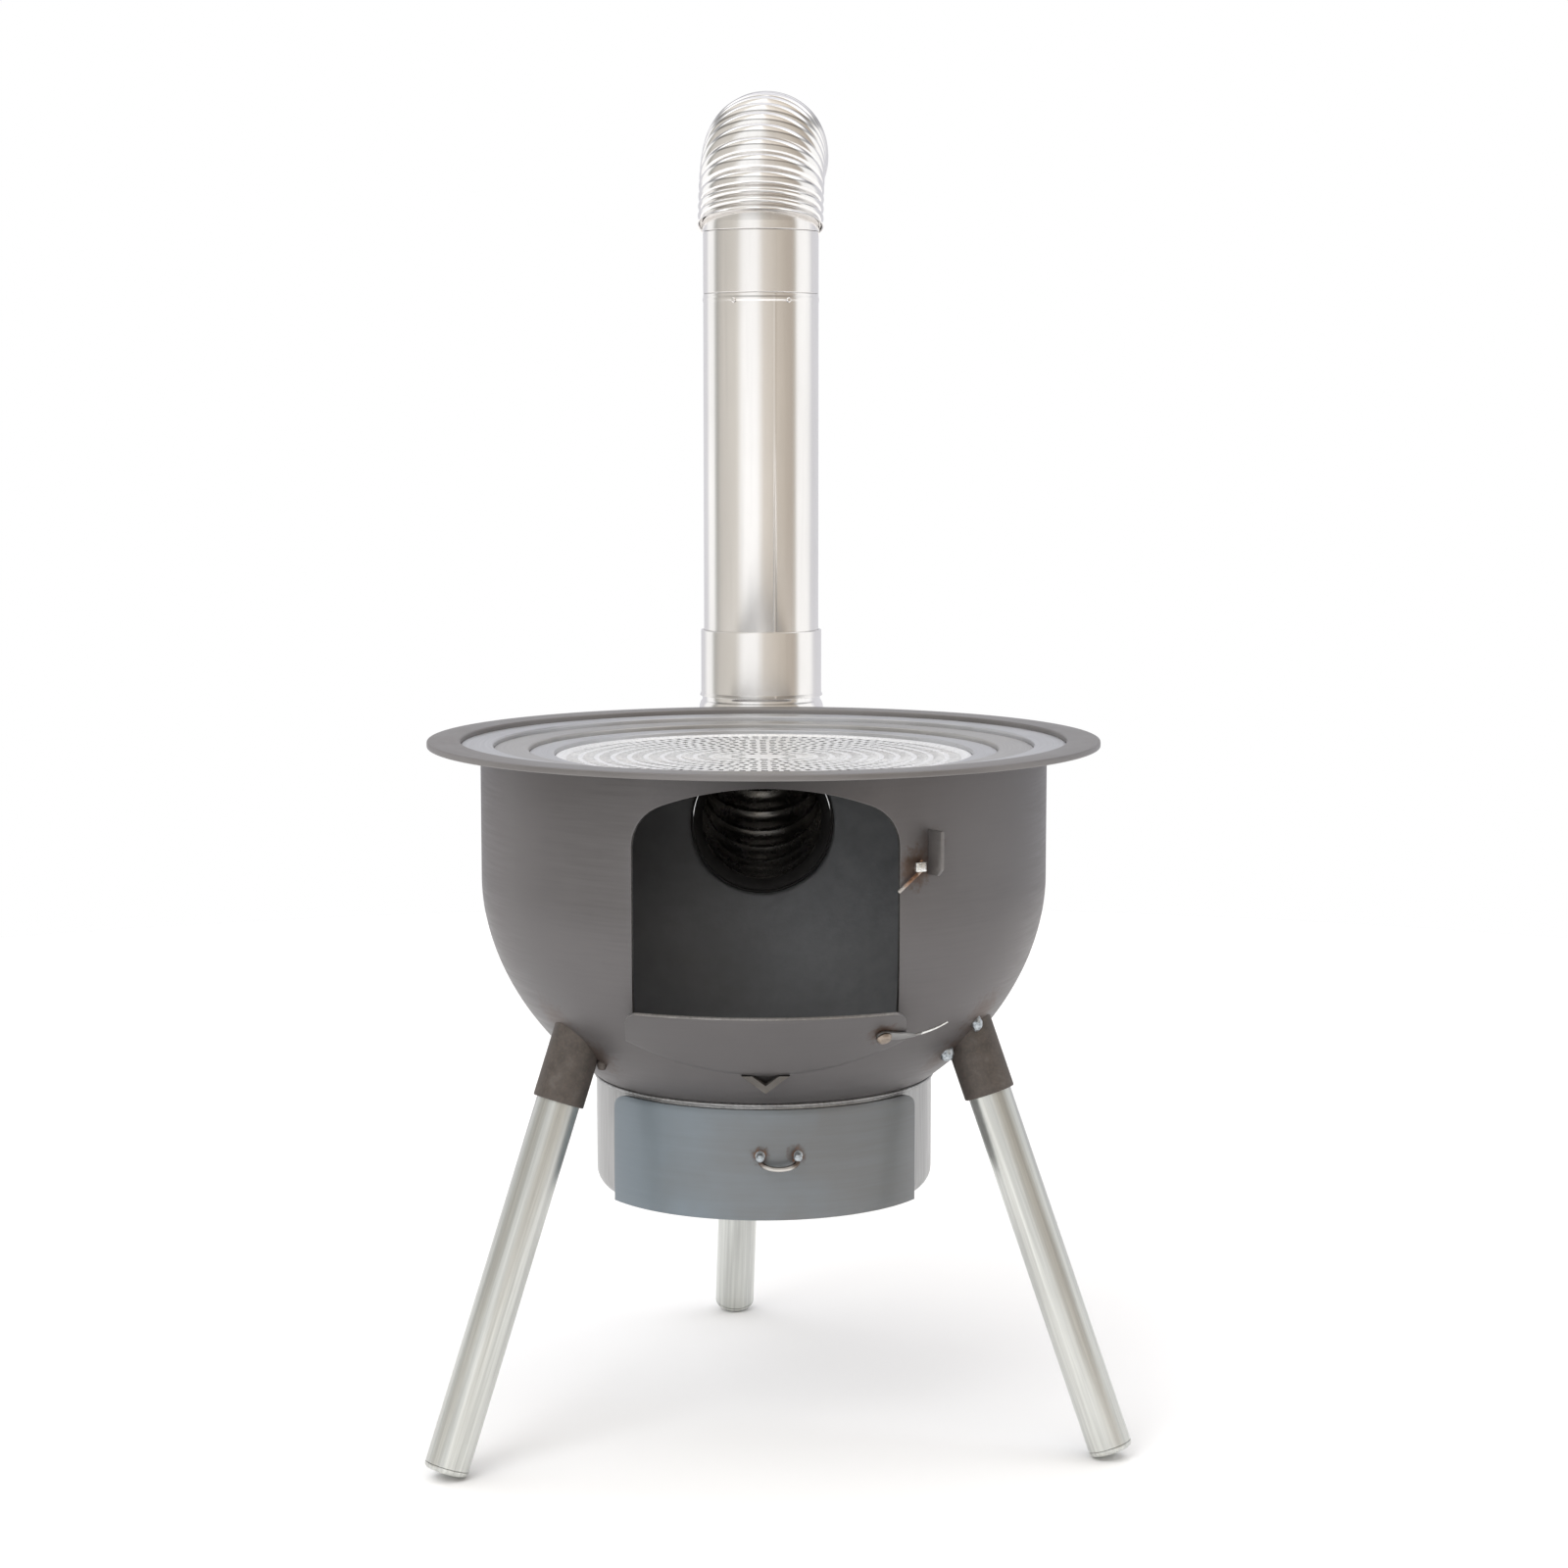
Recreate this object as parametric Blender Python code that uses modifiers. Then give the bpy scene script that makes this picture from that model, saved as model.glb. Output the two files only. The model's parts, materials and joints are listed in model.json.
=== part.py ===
"""Round steel garden stove (chiminea) with a ring top, ash drawer, tripod and rear flue.

Metres, +Z up, front towards -Y. The stove is modelled about the axis of its bowl with the
floor at Z = 0, then the whole model is moved so that the middle of its plan is the origin.
"""

import math

import bmesh
import bpy
from mathutils import Matrix, Vector

# ---------------------------------------------------------------- driving dimensions
GAP = 0.0003                      # clearance between touching pieces
SHEET = 0.003                     # bowl sheet
RING_SHEET = 0.002

# Ring top: each ring hangs in the step of the one outside it
RIM_RADIUS = 0.250
RIM_TOP = 0.516
RIM_LIP = 0.0048                  # height of the turned-down outer edge
RING_DROP = 0.0033                # each ring's top lies this much lower than the last
RING_RISER = 0.0056               # depth of the ledge below a ring's top
STEP_RADII = (0.2253, 0.2011, 0.1748, 0.1560)
RING_NAMES = ("outer_ring", "middle_ring", "inner_ring")
LEDGE_WIDTH = 0.0165
GRILL_SLOT_ROWS = ((0.136, 24), (0.105, 18), (0.074, 12), (0.043, 8))
GRILL_SLOT = (0.017, 0.0052)      # length towards the centre, width

# Fire grate, loose in the narrowing bowl
GRATE_BOTTOM = 0.270
GRATE_TOP = 0.276
GRATE_PITCH = 0.020
GRATE_SLOT = 0.009
GRATE_BORDER = 0.014

# Bowl: a short cylinder that turns into a full, slightly pointed dome
BOWL_RADIUS = 0.2105
BOWL_SHOULDER = 0.4132            # height where the cylinder ends
BOWL_DEPTH = 0.1907
BOWL_POWER = 1.90                 # superellipse exponent of the dome
BOWL_THROAT = 0.100               # radius of the ash hole in the bottom

# Fire opening
MOUTH_HALF = 0.0930
MOUTH_BOTTOM = 0.336
MOUTH_TOP = 0.5017
MOUTH_ARCH = 0.2025               # radius of the arched top
MOUTH_CORNER = 0.032

# Sill plate, a conical lip below the opening
SILL_TOP = 0.342
SILL_TOP_RADIUS = 0.2130
SILL_SLOPE = 1.06                 # radius gained per metre of height
SILL_HALF = 0.0985
SILL_END_BOTTOM = 0.3175
SILL_MIDDLE_BOTTOM = 0.2925
SILL_SHEET = 0.0025
SILL_CORNER = 0.009
BRACKET_HALF = 0.0172             # half width of the angle iron across its open side
BRACKET_SHEET = 0.0055
BRACKET_LENGTH = 0.030
BRACKET_PROUD = 0.006             # how far it stands past the sill, square to the sill
BRACKET_BELOW = 0.0030            # its distance below the sill's lower edge

# Ash drum and drawer
DRUM_RADIUS = 0.126
DRUM_BOTTOM = 0.178
DRUM_TOP = 0.2680
DRUM_EDGE = 0.014
DRUM_SHEET = 0.002
DRAWER_SHEET = 0.0025
DRAWER_HALF = 0.1105
DRAWER_TOP = 0.2625
DRAWER_FOOT = 0.1800
DRAWER_CORNER = 0.010
TRAY_HALF = 0.080
TRAY_BACK = 0.078
TRAY_BOTTOM = 0.1805
TRAY_TOP = 0.2360
TRAY_SHEET = 0.0015
SLOT_CLEARANCE = 0.0025
HANDLE_X = 0.0098
HANDLE_HALF = 0.0135
HANDLE_Z = 0.2275
HANDLE_SAG = 0.0085
HANDLE_STAND = 0.0085
HANDLE_WIRE = 0.0017
STUD_HEAD = 0.0031
STUD_SHANK = 0.0021

# Tripod
LEG_RADIUS = 0.016
LEG_WALL = 0.0015
LEG_FLOOR_RADIUS = 0.2805         # where a leg's centre line would meet the floor
LEG_SPREAD = math.radians(20.64)  # lean from the vertical
LEG_TURN = math.radians(4.8)
LEG_HEIGHT = 0.292                # height of the leg's upper end, inside its socket
SOCKET_RADIUS = 0.01875
SOCKET_FOOT = 0.262
SOCKET_HEAD = 0.345
CAP_THICKNESS = 0.004
CAP_EDGE = 0.0016
# Weld tacks: leg index, height, azimuth in radians, half sizes
WELD_TACKS = (
    (2, 0.3178, -0.546, (0.0040, 0.0036, 0.0066)),
    (2, 0.2945, -0.612, (0.0045, 0.0040, 0.0052)),
    (1, 0.2885, -2.430, (0.0034, 0.0034, 0.0040)),
)
TACK_PROUD = 0.0012

# Flue
FLUE_Y = 0.315
PIPE_RADIUS = 0.048
PIPE_WALL = 0.0012
INLET_Z = 0.4265
INLET_RADIUS = 0.0578
INLET_WALL = 0.0016
INLET_BACK = 0.236
INLET_FRONT = 0.196
CREST_RADIUS = 0.0540
ROOT_RADIUS = 0.0495
ELBOW_WALL = 0.0012
LOWER_BEND = 0.090
LOWER_RIBS = 10
LOWER_START = 0.201
COLLAR_RADIUS = 0.0505
COLLAR_WALL = 0.0020
COLLAR_TOP = 0.575
PIPE_JOINT = 0.8535
PIPE_TOP = 0.9000
TOP_BEND = 0.0565
TOP_RIBS = 12
TOP_START = 0.9140
TOP_TURN = math.radians(-5.6)     # the outlet is swivelled a little towards +X
OUTLET_LENGTH = 0.010
ELBOW_PLAIN = 0.003               # plain stretch where a bend meets a collar
SPIGOT_LENGTH = 0.030             # how far the upper pipe reaches down into the lower one
SLEEVE_LENGTH = 0.022             # how far the top collar reaches down into the pipe
BAND_WALL = 0.0016
BAND_LENGTH = 0.007
RIVET_RADIUS = 0.0020
RIVET_HEAD = 0.0009
RIVET_AZIMUTHS = (-62.0, -118.0, 90.0)

# Catch beside the opening and lever on the sill
CATCH_AZIMUTH = math.radians(-60.4)
CATCH_Z = 0.4448
LUG_AZIMUTH = math.radians(-57.3)
LUG_DEPTH = 0.0155
LUG_BOTTOM = 0.4380
LUG_TOP = 0.4695
LUG_CHAMFER = 0.005
LEVER_AZIMUTH = math.radians(-65.3)
LEVER_Z = 0.3253
BOLT_SHANK = 0.0025
BOLT_HEAD = 0.0056
BOLT_HEAD_HEIGHT = 0.0036
WIRE_RADIUS = 0.0012
CATCH_GRIP = 0.0045               # room for the hook's eye under the bolt head
CATCH_REACH = 0.0215
CATCH_AIM = math.radians(228.0)
LUG_SHEET = 0.0025
LEVER_SHEET = 0.0020
LEVER_ROOT = 0.0052
LEVER_LENGTH = 0.0270
LEVER_WIRE = 0.0009

ROUND = 48                        # facets round the large turned pieces
TUBE_ROUND = 24                   # facets round tubes and legs
ELBOW_ROUND = 20                  # facets round the pleated bends

# ---------------------------------------------------------------- scene and helpers
for old in list(bpy.data.objects):
    bpy.data.objects.remove(old, do_unlink=True)

parts = bpy.data.collections.new("chiminea")
cutters = bpy.data.collections.new("cutters")
for group in (parts, cutters):
    bpy.context.scene.collection.children.link(group)

stove = bpy.data.objects.new("stove_origin", None)
parts.objects.link(stove)


def metal(name, colour, roughness, metallic):
    """A Principled material with the given finish."""
    material = bpy.data.materials.new(name)
    material.use_nodes = True
    shader = material.node_tree.nodes["Principled BSDF"]
    shader.inputs["Base Color"].default_value = (*colour, 1.0)
    shader.inputs["Roughness"].default_value = roughness
    shader.inputs["Metallic"].default_value = metallic
    return material


BOWL_STEEL = ("bowl_steel", (0.165, 0.155, 0.155), 0.45, 0.65)
RING_STEEL = ("ring_steel", (0.21, 0.21, 0.22), 0.40, 0.70)
GRATE_IRON = ("grate_iron", (0.045, 0.045, 0.045), 0.75, 0.60)
MESH_STEEL = ("mesh_steel", (0.62, 0.63, 0.64), 0.30, 1.00)
DRUM_STEEL = ("drum_steel", (0.42, 0.42, 0.42), 0.38, 0.90)
DRAWER_STEEL = ("drawer_steel", (0.20, 0.225, 0.245), 0.42, 0.70)
RAW_STEEL = ("raw_steel", (0.105, 0.09, 0.08), 0.62, 0.55)
BRIGHT_STEEL = ("bright_steel", (0.60, 0.60, 0.58), 0.30, 1.00)
STAINLESS = ("stainless", (0.74, 0.72, 0.70), 0.16, 1.00)
RUSTY_WIRE = ("rusty_wire", (0.30, 0.15, 0.08), 0.70, 0.50)


def add_part(name, mesh, finish, sharp_degrees=35.0):
    """Put a mesh into the parts collection under the stove, with its own material."""
    mesh.shade_smooth()
    mesh.set_sharp_from_angle(angle=math.radians(sharp_degrees))
    part = bpy.data.objects.new(name, mesh)
    part.data.materials.append(metal(f"{name}_{finish[0]}", *finish[1:]))
    parts.objects.link(part)
    part.parent = stove
    return part


def add_cutter(name, mesh):
    cutter = bpy.data.objects.new(name, mesh)
    cutter.hide_render = True
    cutter.display_type = "WIRE"
    cutters.objects.link(cutter)
    cutter.parent = stove
    return cutter


def mesh_from(bm, name):
    bmesh.ops.recalc_face_normals(bm, faces=bm.faces)
    mesh = bpy.data.meshes.new(name)
    bm.to_mesh(mesh)
    bm.free()
    return mesh


def turned_mesh(name, profile, closed):
    """Edges of a profile in the XZ plane, ready for a Screw modifier."""
    count = len(profile)
    edges = [(i, (i + 1) % count) for i in range(count if closed else count - 1)]
    mesh = bpy.data.meshes.new(name)
    mesh.from_pydata([(r, 0.0, z) for r, z in profile], edges, [])
    return mesh


def screw(part, steps):
    turn = part.modifiers.new("turn", "SCREW")
    turn.steps = steps
    turn.render_steps = steps
    turn.use_merge_vertices = True
    turn.merge_threshold = 0.00005
    turn.use_smooth_shade = True


def turned(name, profile, finish, steps=ROUND, closed=True):
    """A turned piece; the profile runs down its outer side, top to bottom."""
    part = add_part(name, turned_mesh(name, profile, closed), finish)
    screw(part, steps)
    return part


def turned_cutter(name, profile, steps=ROUND):
    cutter = add_cutter(name, turned_mesh(name, profile, closed=False))
    screw(cutter, steps)
    return cutter


def tube(name, radius, wall, bottom, top, finish, steps=None):
    profile = [(radius, top), (radius, bottom), (radius - wall, bottom), (radius - wall, top)]
    return turned(name, profile, finish, steps or TUBE_ROUND)


def solidify(part, thickness):
    """Give a surface a thickness, inwards from its face."""
    shell = part.modifiers.new("sheet", "SOLIDIFY")
    shell.thickness = thickness
    shell.offset = -1.0
    shell.use_even_offset = True


def boolean(part, cutter, operation="DIFFERENCE"):
    cut = part.modifiers.new(cutter.name, "BOOLEAN")
    cut.operation = operation
    cut.object = cutter
    cut.solver = "EXACT"


def arc(centre, radius, start_degrees, end_degrees, steps):
    """Points along an arc in a plane, both ends included."""
    points = []
    for i in range(steps + 1):
        angle = math.radians(start_degrees + (end_degrees - start_degrees) * i / steps)
        points.append(
            (centre[0] + radius * math.cos(angle), centre[1] + radius * math.sin(angle))
        )
    return points


def prism_mesh(name, outline, start, end, axis="Y"):
    """A flat outline drawn out along an axis from start to end."""
    bm = bmesh.new()
    if axis == "Y":
        corners = [bm.verts.new((a, start, b)) for a, b in outline]
        travel = Vector((0.0, end - start, 0.0))
    else:
        corners = [bm.verts.new((a, b, start)) for a, b in outline]
        travel = Vector((0.0, 0.0, end - start))
    face = bm.faces.new(corners)
    grown = bmesh.ops.extrude_face_region(bm, geom=[face])
    moved = [item for item in grown["geom"] if isinstance(item, bmesh.types.BMVert)]
    bmesh.ops.translate(bm, verts=moved, vec=travel)
    return mesh_from(bm, name)


def box_mesh(name, low, high):
    bm = bmesh.new()
    bmesh.ops.create_cube(bm, size=1.0)
    for vert in bm.verts:
        for i in range(3):
            vert.co[i] = low[i] + (vert.co[i] + 0.5) * (high[i] - low[i])
    return mesh_from(bm, name)


def cylinder_mesh(name, radius, bottom, top, segments):
    bm = bmesh.new()
    bmesh.ops.create_cone(
        bm, cap_ends=True, segments=segments, radius1=radius, radius2=radius, depth=top - bottom
    )
    bmesh.ops.translate(bm, verts=bm.verts, vec=(0.0, 0.0, (top + bottom) / 2.0))
    return mesh_from(bm, name)


def wire_mesh(name, points, radius, resolution=2):
    """A round wire through the points, with filled ends, as a closed mesh."""
    curve = bpy.data.curves.new(name, "CURVE")
    curve.dimensions = "3D"
    curve.bevel_depth = radius
    curve.bevel_resolution = resolution
    curve.use_fill_caps = True
    spline = curve.splines.new("POLY")
    spline.points.add(len(points) - 1)
    for point, place in zip(spline.points, points):
        point.co = (*place, 1.0)
    guide = bpy.data.objects.new(name, curve)
    parts.objects.link(guide)
    bpy.context.view_layer.update()
    evaluated = guide.evaluated_get(bpy.context.evaluated_depsgraph_get())
    mesh = bpy.data.meshes.new_from_object(evaluated)
    bpy.data.objects.remove(guide, do_unlink=True)
    bpy.data.curves.remove(curve)
    bm = bmesh.new()
    bm.from_mesh(mesh)
    bpy.data.meshes.remove(mesh)
    bmesh.ops.remove_doubles(bm, verts=bm.verts, dist=0.00001)
    return mesh_from(bm, name)


def turn_frame(azimuth, outward, height, tilt=0.0):
    """A frame on the stove's surface: local Z points outwards, local X along the surface.

    tilt leans the outward direction below the horizontal.
    """
    place = Matrix.Translation((outward * math.cos(azimuth), outward * math.sin(azimuth), height))
    facing = Matrix.Rotation(azimuth, 4, "Z") @ Matrix.Rotation(math.pi / 2 + tilt, 4, "Y")
    return place @ facing @ Matrix.Rotation(math.pi / 2, 4, "Z")


def dome_radius(height):
    """Outer radius of the bowl at a height."""
    if height >= BOWL_SHOULDER:
        return BOWL_RADIUS
    drop = ((BOWL_SHOULDER - height) / BOWL_DEPTH) ** BOWL_POWER
    return BOWL_RADIUS * (1.0 - drop) ** (1.0 / BOWL_POWER)


def dome_height(radius):
    """Height of the bowl's outer surface at a radius, below the shoulder."""
    share = (radius / BOWL_RADIUS) ** BOWL_POWER
    return BOWL_SHOULDER - BOWL_DEPTH * (1.0 - share) ** (1.0 / BOWL_POWER)


def dome_profile(top, throat, grow=0.0, steps=11):
    """The bowl's outer line from its top edge down to the throat."""
    points = [(BOWL_RADIUS + grow, top), (BOWL_RADIUS + grow, (top + BOWL_SHOULDER) / 2.0)]
    end = math.acos((throat / BOWL_RADIUS) ** (BOWL_POWER / 2.0))
    for i in range(steps + 1):
        angle = end * i / steps
        radius = BOWL_RADIUS * math.cos(angle) ** (2.0 / BOWL_POWER)
        height = BOWL_SHOULDER - BOWL_DEPTH * math.sin(angle) ** (2.0 / BOWL_POWER)
        points.append((radius + grow, height - grow))
    return points


# ---------------------------------------------------------------- bowl and sill
RIM_SEAT = RIM_TOP - RING_SHEET - RING_RISER     # underside of the rim's ledge


def make_bowl():
    bowl = turned("firebox_bowl", dome_profile(RIM_SEAT - GAP, BOWL_THROAT), BOWL_STEEL, closed=False)
    solidify(bowl, SHEET)
    top_centre = (0.0, MOUTH_TOP - MOUTH_ARCH)
    side = MOUTH_HALF - MOUTH_CORNER
    reach = math.degrees(math.asin(side / (MOUTH_ARCH - MOUTH_CORNER)))
    corner_z = top_centre[1] + (MOUTH_ARCH - MOUTH_CORNER) * math.cos(math.radians(reach))
    outline = [(MOUTH_HALF, MOUTH_BOTTOM)]
    outline += arc((side, corner_z), MOUTH_CORNER, 0.0, 90.0 - reach, 6)
    outline += arc(top_centre, MOUTH_ARCH, 90.0 - reach, 90.0 + reach, 10)[1:-1]
    outline += arc((-side, corner_z), MOUTH_CORNER, 90.0 + reach, 180.0, 6)
    outline += [(-MOUTH_HALF, MOUTH_BOTTOM)]
    boolean(bowl, add_cutter("mouth_cutter", prism_mesh("mouth_cutter", outline, -0.30, -0.10)))
    name = "flue_hole_cutter"
    hole = add_cutter(name, cylinder_mesh(name, INLET_RADIUS + GAP, -0.25, -0.12, TUBE_ROUND))
    hole.matrix_local = Matrix.Translation((0.0, 0.0, INLET_Z)) @ Matrix.Rotation(math.pi / 2, 4, "X")
    boolean(bowl, hole)


def sill_radius(height):
    return SILL_TOP_RADIUS - SILL_SLOPE * (SILL_TOP - height)


def make_sill_plate():
    """A conical sheet, trimmed to a crescent with rounded upper corners."""
    low = SILL_MIDDLE_BOTTOM - 0.010
    profile = [
        (sill_radius(SILL_TOP), SILL_TOP),
        (sill_radius(low), low),
    ]
    plate = turned("sill_plate", profile, BOWL_STEEL, steps=ROUND * 2, closed=False)
    solidify(plate, SILL_SHEET)
    rise = SILL_END_BOTTOM - SILL_MIDDLE_BOTTOM
    bend = (SILL_HALF ** 2 + rise ** 2) / (2.0 * rise)
    sweep = math.degrees(math.asin(SILL_HALF / bend))
    outline = arc((0.0, SILL_MIDDLE_BOTTOM + bend), bend, 270.0 - sweep, 270.0 + sweep, 14)
    outline += arc((SILL_HALF - SILL_CORNER, SILL_TOP - SILL_CORNER), SILL_CORNER, 0.0, 90.0, 5)
    outline += arc((SILL_CORNER - SILL_HALF, SILL_TOP - SILL_CORNER), SILL_CORNER, 90.0, 180.0, 5)
    trim = add_cutter("sill_trim", prism_mesh("sill_trim", outline, -0.30, -0.05))
    boolean(plate, trim, "INTERSECT")
    boolean(plate, dome_core)


def make_sill_bracket():
    """A stub of angle iron, point down, between the dome and the sill's lower edge."""
    half = BRACKET_HALF
    inner = half - math.sqrt(2.0) * BRACKET_SHEET
    outline = [
        (-half, 0.0),
        (0.0, -half),
        (half, 0.0),
        (inner, 0.0),
        (0.0, -inner),
        (-inner, 0.0),
    ]
    mesh = prism_mesh("sill_bracket", outline, -BRACKET_LENGTH, 0.0, "Z")
    bracket = add_part("sill_bracket", mesh, RAW_STEEL)
    slope = math.atan(SILL_SLOPE)
    outward = sill_radius(SILL_MIDDLE_BOTTOM)
    outward += BRACKET_PROUD * math.cos(slope) - BRACKET_BELOW * math.sin(slope)
    height = SILL_MIDDLE_BOTTOM
    height -= BRACKET_PROUD * math.sin(slope) + BRACKET_BELOW * math.cos(slope)
    bracket.matrix_local = turn_frame(-math.pi / 2, outward, height, slope)
    boolean(bracket, dome_core)


# ---------------------------------------------------------------- rings, grill and grate
def stepped_ring(name, outer, top, step, finish, lip=None):
    """A ring whose inner part is joggled down into a ledge for the next piece."""
    under = top - RING_SHEET
    ledge = top - RING_RISER
    inner = step - LEDGE_WIDTH
    if lip:
        profile = [(outer - 0.0016, top), (outer, top - 0.0014), (outer, top - lip),
                   (outer - RING_SHEET, top - lip), (outer - RING_SHEET, under)]
    else:
        profile = [(outer - 0.001, top), (outer, top - 0.001), (outer, under)]
    bend = step + RING_SHEET
    profile += [(bend, under), (bend, ledge - RING_SHEET), (inner, ledge - RING_SHEET),
                (inner, ledge), (step, ledge), (step, top - 0.0012), (step + 0.0016, top)]
    return turned(name, profile, finish)


def make_rings():
    stepped_ring("top_rim", RIM_RADIUS, RIM_TOP, STEP_RADII[0], BOWL_STEEL, RIM_LIP)
    for i, name in enumerate(RING_NAMES):
        top = RIM_TOP - RING_DROP * (i + 1)
        stepped_ring(name, STEP_RADII[i] - GAP, top, STEP_RADII[i + 1], RING_STEEL)


def make_grill():
    """A perforated disc; its slots lie in rows, all pointing at the centre."""
    top = RIM_TOP - RING_DROP * len(STEP_RADII)
    radius = STEP_RADII[-1] - GAP
    disc = cylinder_mesh("grill_plate", radius, top - RING_SHEET, top, ROUND)
    grill = add_part("grill_plate", disc, MESH_STEEL)
    bm = bmesh.new()
    for row_radius, count in GRILL_SLOT_ROWS:
        for i in range(count):
            spin = Matrix.Rotation(2.0 * math.pi * i / count, 4, "Z")
            shift = Matrix.Translation((row_radius, 0.0, top))
            size = Matrix.Diagonal((*GRILL_SLOT, RING_SHEET * 4.0, 1.0))
            bmesh.ops.create_cube(bm, size=1.0, matrix=spin @ shift @ size)
    boolean(grill, add_cutter("grill_slots", mesh_from(bm, "grill_slots")))


def make_fire_grate():
    """A slotted iron disc that rests in the narrowing bowl."""
    radius = dome_radius(GRATE_BOTTOM) - SHEET * 1.8 - GAP
    disc = cylinder_mesh("fire_grate", radius, GRATE_BOTTOM, GRATE_TOP, ROUND)
    grate = add_part("fire_grate", disc, GRATE_IRON)
    bm = bmesh.new()
    height = GRATE_TOP - GRATE_BOTTOM
    for i in range(-5, 6):
        x = i * GRATE_PITCH
        half = math.sqrt((radius - GRATE_BORDER) ** 2 - x ** 2)
        size = Matrix.Diagonal((GRATE_SLOT, 2.0 * half, height * 4.0, 1.0))
        bmesh.ops.create_cube(bm, size=1.0, matrix=Matrix.Translation((x, 0.0, GRATE_TOP)) @ size)
    boolean(grate, add_cutter("grate_slots", mesh_from(bm, "grate_slots")))


# ---------------------------------------------------------------- ash drum and drawer
def make_ash_drum():
    centre = (DRUM_RADIUS - DRUM_EDGE, DRUM_BOTTOM + DRUM_EDGE)
    profile = [(DRUM_RADIUS, DRUM_TOP)] + arc(centre, DRUM_EDGE, 0.0, -90.0, 3)
    profile += [(0.0, DRUM_BOTTOM), (0.0, DRUM_BOTTOM + DRUM_SHEET)]
    profile += arc(centre, DRUM_EDGE - DRUM_SHEET, -90.0, 0.0, 3)
    profile += [(DRUM_RADIUS - DRUM_SHEET, DRUM_TOP)]
    drum = turned("ash_drum", profile, DRUM_STEEL)
    half = TRAY_HALF + SLOT_CLEARANCE
    low = (-half, -DRUM_RADIUS - 0.02, TRAY_BOTTOM - GAP)
    high = (half, -DRUM_RADIUS / 2.0, TRAY_TOP + SLOT_CLEARANCE)
    boolean(drum, add_cutter("drawer_slot", box_mesh("drawer_slot", low, high)))
    boolean(drum, dome_core)


def make_drawer_front():
    inner = DRUM_RADIUS + GAP * 1.5
    outer = inner + DRAWER_SHEET
    profile = [
        (outer, DRAWER_TOP + 0.01),
        (outer, DRAWER_FOOT - 0.01),
        (inner, DRAWER_FOOT - 0.01),
        (inner, DRAWER_TOP + 0.01),
    ]
    front = turned("drawer_front", profile, DRAWER_STEEL, steps=ROUND * 2)
    side = DRAWER_HALF - DRAWER_CORNER
    lift = DRAWER_TOP - DRAWER_CORNER
    outline = [(-DRAWER_HALF, DRAWER_FOOT), (DRAWER_HALF, DRAWER_FOOT)]
    outline += arc((side, lift), DRAWER_CORNER, 0.0, 90.0, 5)
    outline += arc((-side, lift), DRAWER_CORNER, 90.0, 180.0, 5)
    trim = add_cutter("drawer_trim", prism_mesh("drawer_trim", outline, -0.15, -0.02))
    boolean(front, trim, "INTERSECT")


def make_drawer_tray():
    """An open tray with a bowed front that backs onto the drawer front."""
    bow = DRUM_RADIUS + GAP
    sweep = math.degrees(math.asin(TRAY_HALF / bow))
    outline = arc((0.0, 0.0), bow, 270.0 - sweep, 270.0 + sweep, 12)
    outline += [(TRAY_HALF, TRAY_BACK), (-TRAY_HALF, TRAY_BACK)]
    mesh = prism_mesh("drawer_tray", outline, TRAY_BOTTOM, TRAY_TOP, "Z")
    bm = bmesh.new()
    bm.from_mesh(mesh)
    lids = [face for face in bm.faces if face.normal.z > 0.9]
    bmesh.ops.delete(bm, geom=lids, context="FACES_ONLY")
    bm.to_mesh(mesh)
    bm.free()
    tray = add_part("drawer_tray", mesh, DRUM_STEEL)
    solidify(tray, TRAY_SHEET)


def make_drawer_handle():
    """Two studs through the drawer front and a sagging wire loop between them."""
    front = DRUM_RADIUS + GAP * 1.5 + DRAWER_SHEET
    for i, side in enumerate((-1.0, 1.0)):
        x = HANDLE_X + side * HANDLE_HALF
        base = math.sqrt(front ** 2 - x ** 2)
        head = HANDLE_STAND + 0.0012
        profile = [
            (0.0, head),
            (STUD_HEAD * 0.6, head - 0.0003),
            (STUD_HEAD, head - 0.0012),
            (STUD_HEAD, head - 0.0026),
            (STUD_SHANK, head - 0.0028),
            (STUD_SHANK, 0.0),
            (0.0, 0.0),
        ]
        stud = turned(f"handle_stud_{i + 1}", profile, BRIGHT_STEEL, steps=12, closed=False)
        spot = Matrix.Translation((x, -base - GAP, HANDLE_Z))
        stud.matrix_local = spot @ Matrix.Rotation(math.pi / 2, 4, "X")
    points = []
    start = STUD_SHANK + HANDLE_WIRE + GAP
    depth = -front - 0.0048
    for i in range(15):
        share = -1.0 + 2.0 * i / 14.0
        x = HANDLE_X + HANDLE_HALF * math.sin(share * math.pi / 2.0)
        drop = start + (HANDLE_SAG - start) * math.cos(share * math.pi / 2.0)
        points.append((x, depth - 0.003 * math.cos(share * math.pi / 2.0), HANDLE_Z - drop))
    add_part("drawer_handle", wire_mesh("drawer_handle", points, HANDLE_WIRE), BRIGHT_STEEL)


# ---------------------------------------------------------------- tripod
def leg_frame(index):
    """A frame at the middle of a foot: local Z runs up the leg, local X points outwards."""
    azimuth = LEG_TURN + math.radians(90.0 + 120.0 * index)
    edge = (LEG_RADIUS - CAP_EDGE) * math.sin(LEG_SPREAD)
    out = LEG_FLOOR_RADIUS - edge * math.tan(LEG_SPREAD)
    spot = Matrix.Translation((out * math.cos(azimuth), out * math.sin(azimuth), edge))
    return spot @ Matrix.Rotation(azimuth, 4, "Z") @ Matrix.Rotation(-LEG_SPREAD, 4, "Y")


def along_leg(height):
    """Distance from the foot, along the leg, to a height above the floor."""
    return (height - (LEG_RADIUS - CAP_EDGE) * math.sin(LEG_SPREAD)) / math.cos(LEG_SPREAD)


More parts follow.
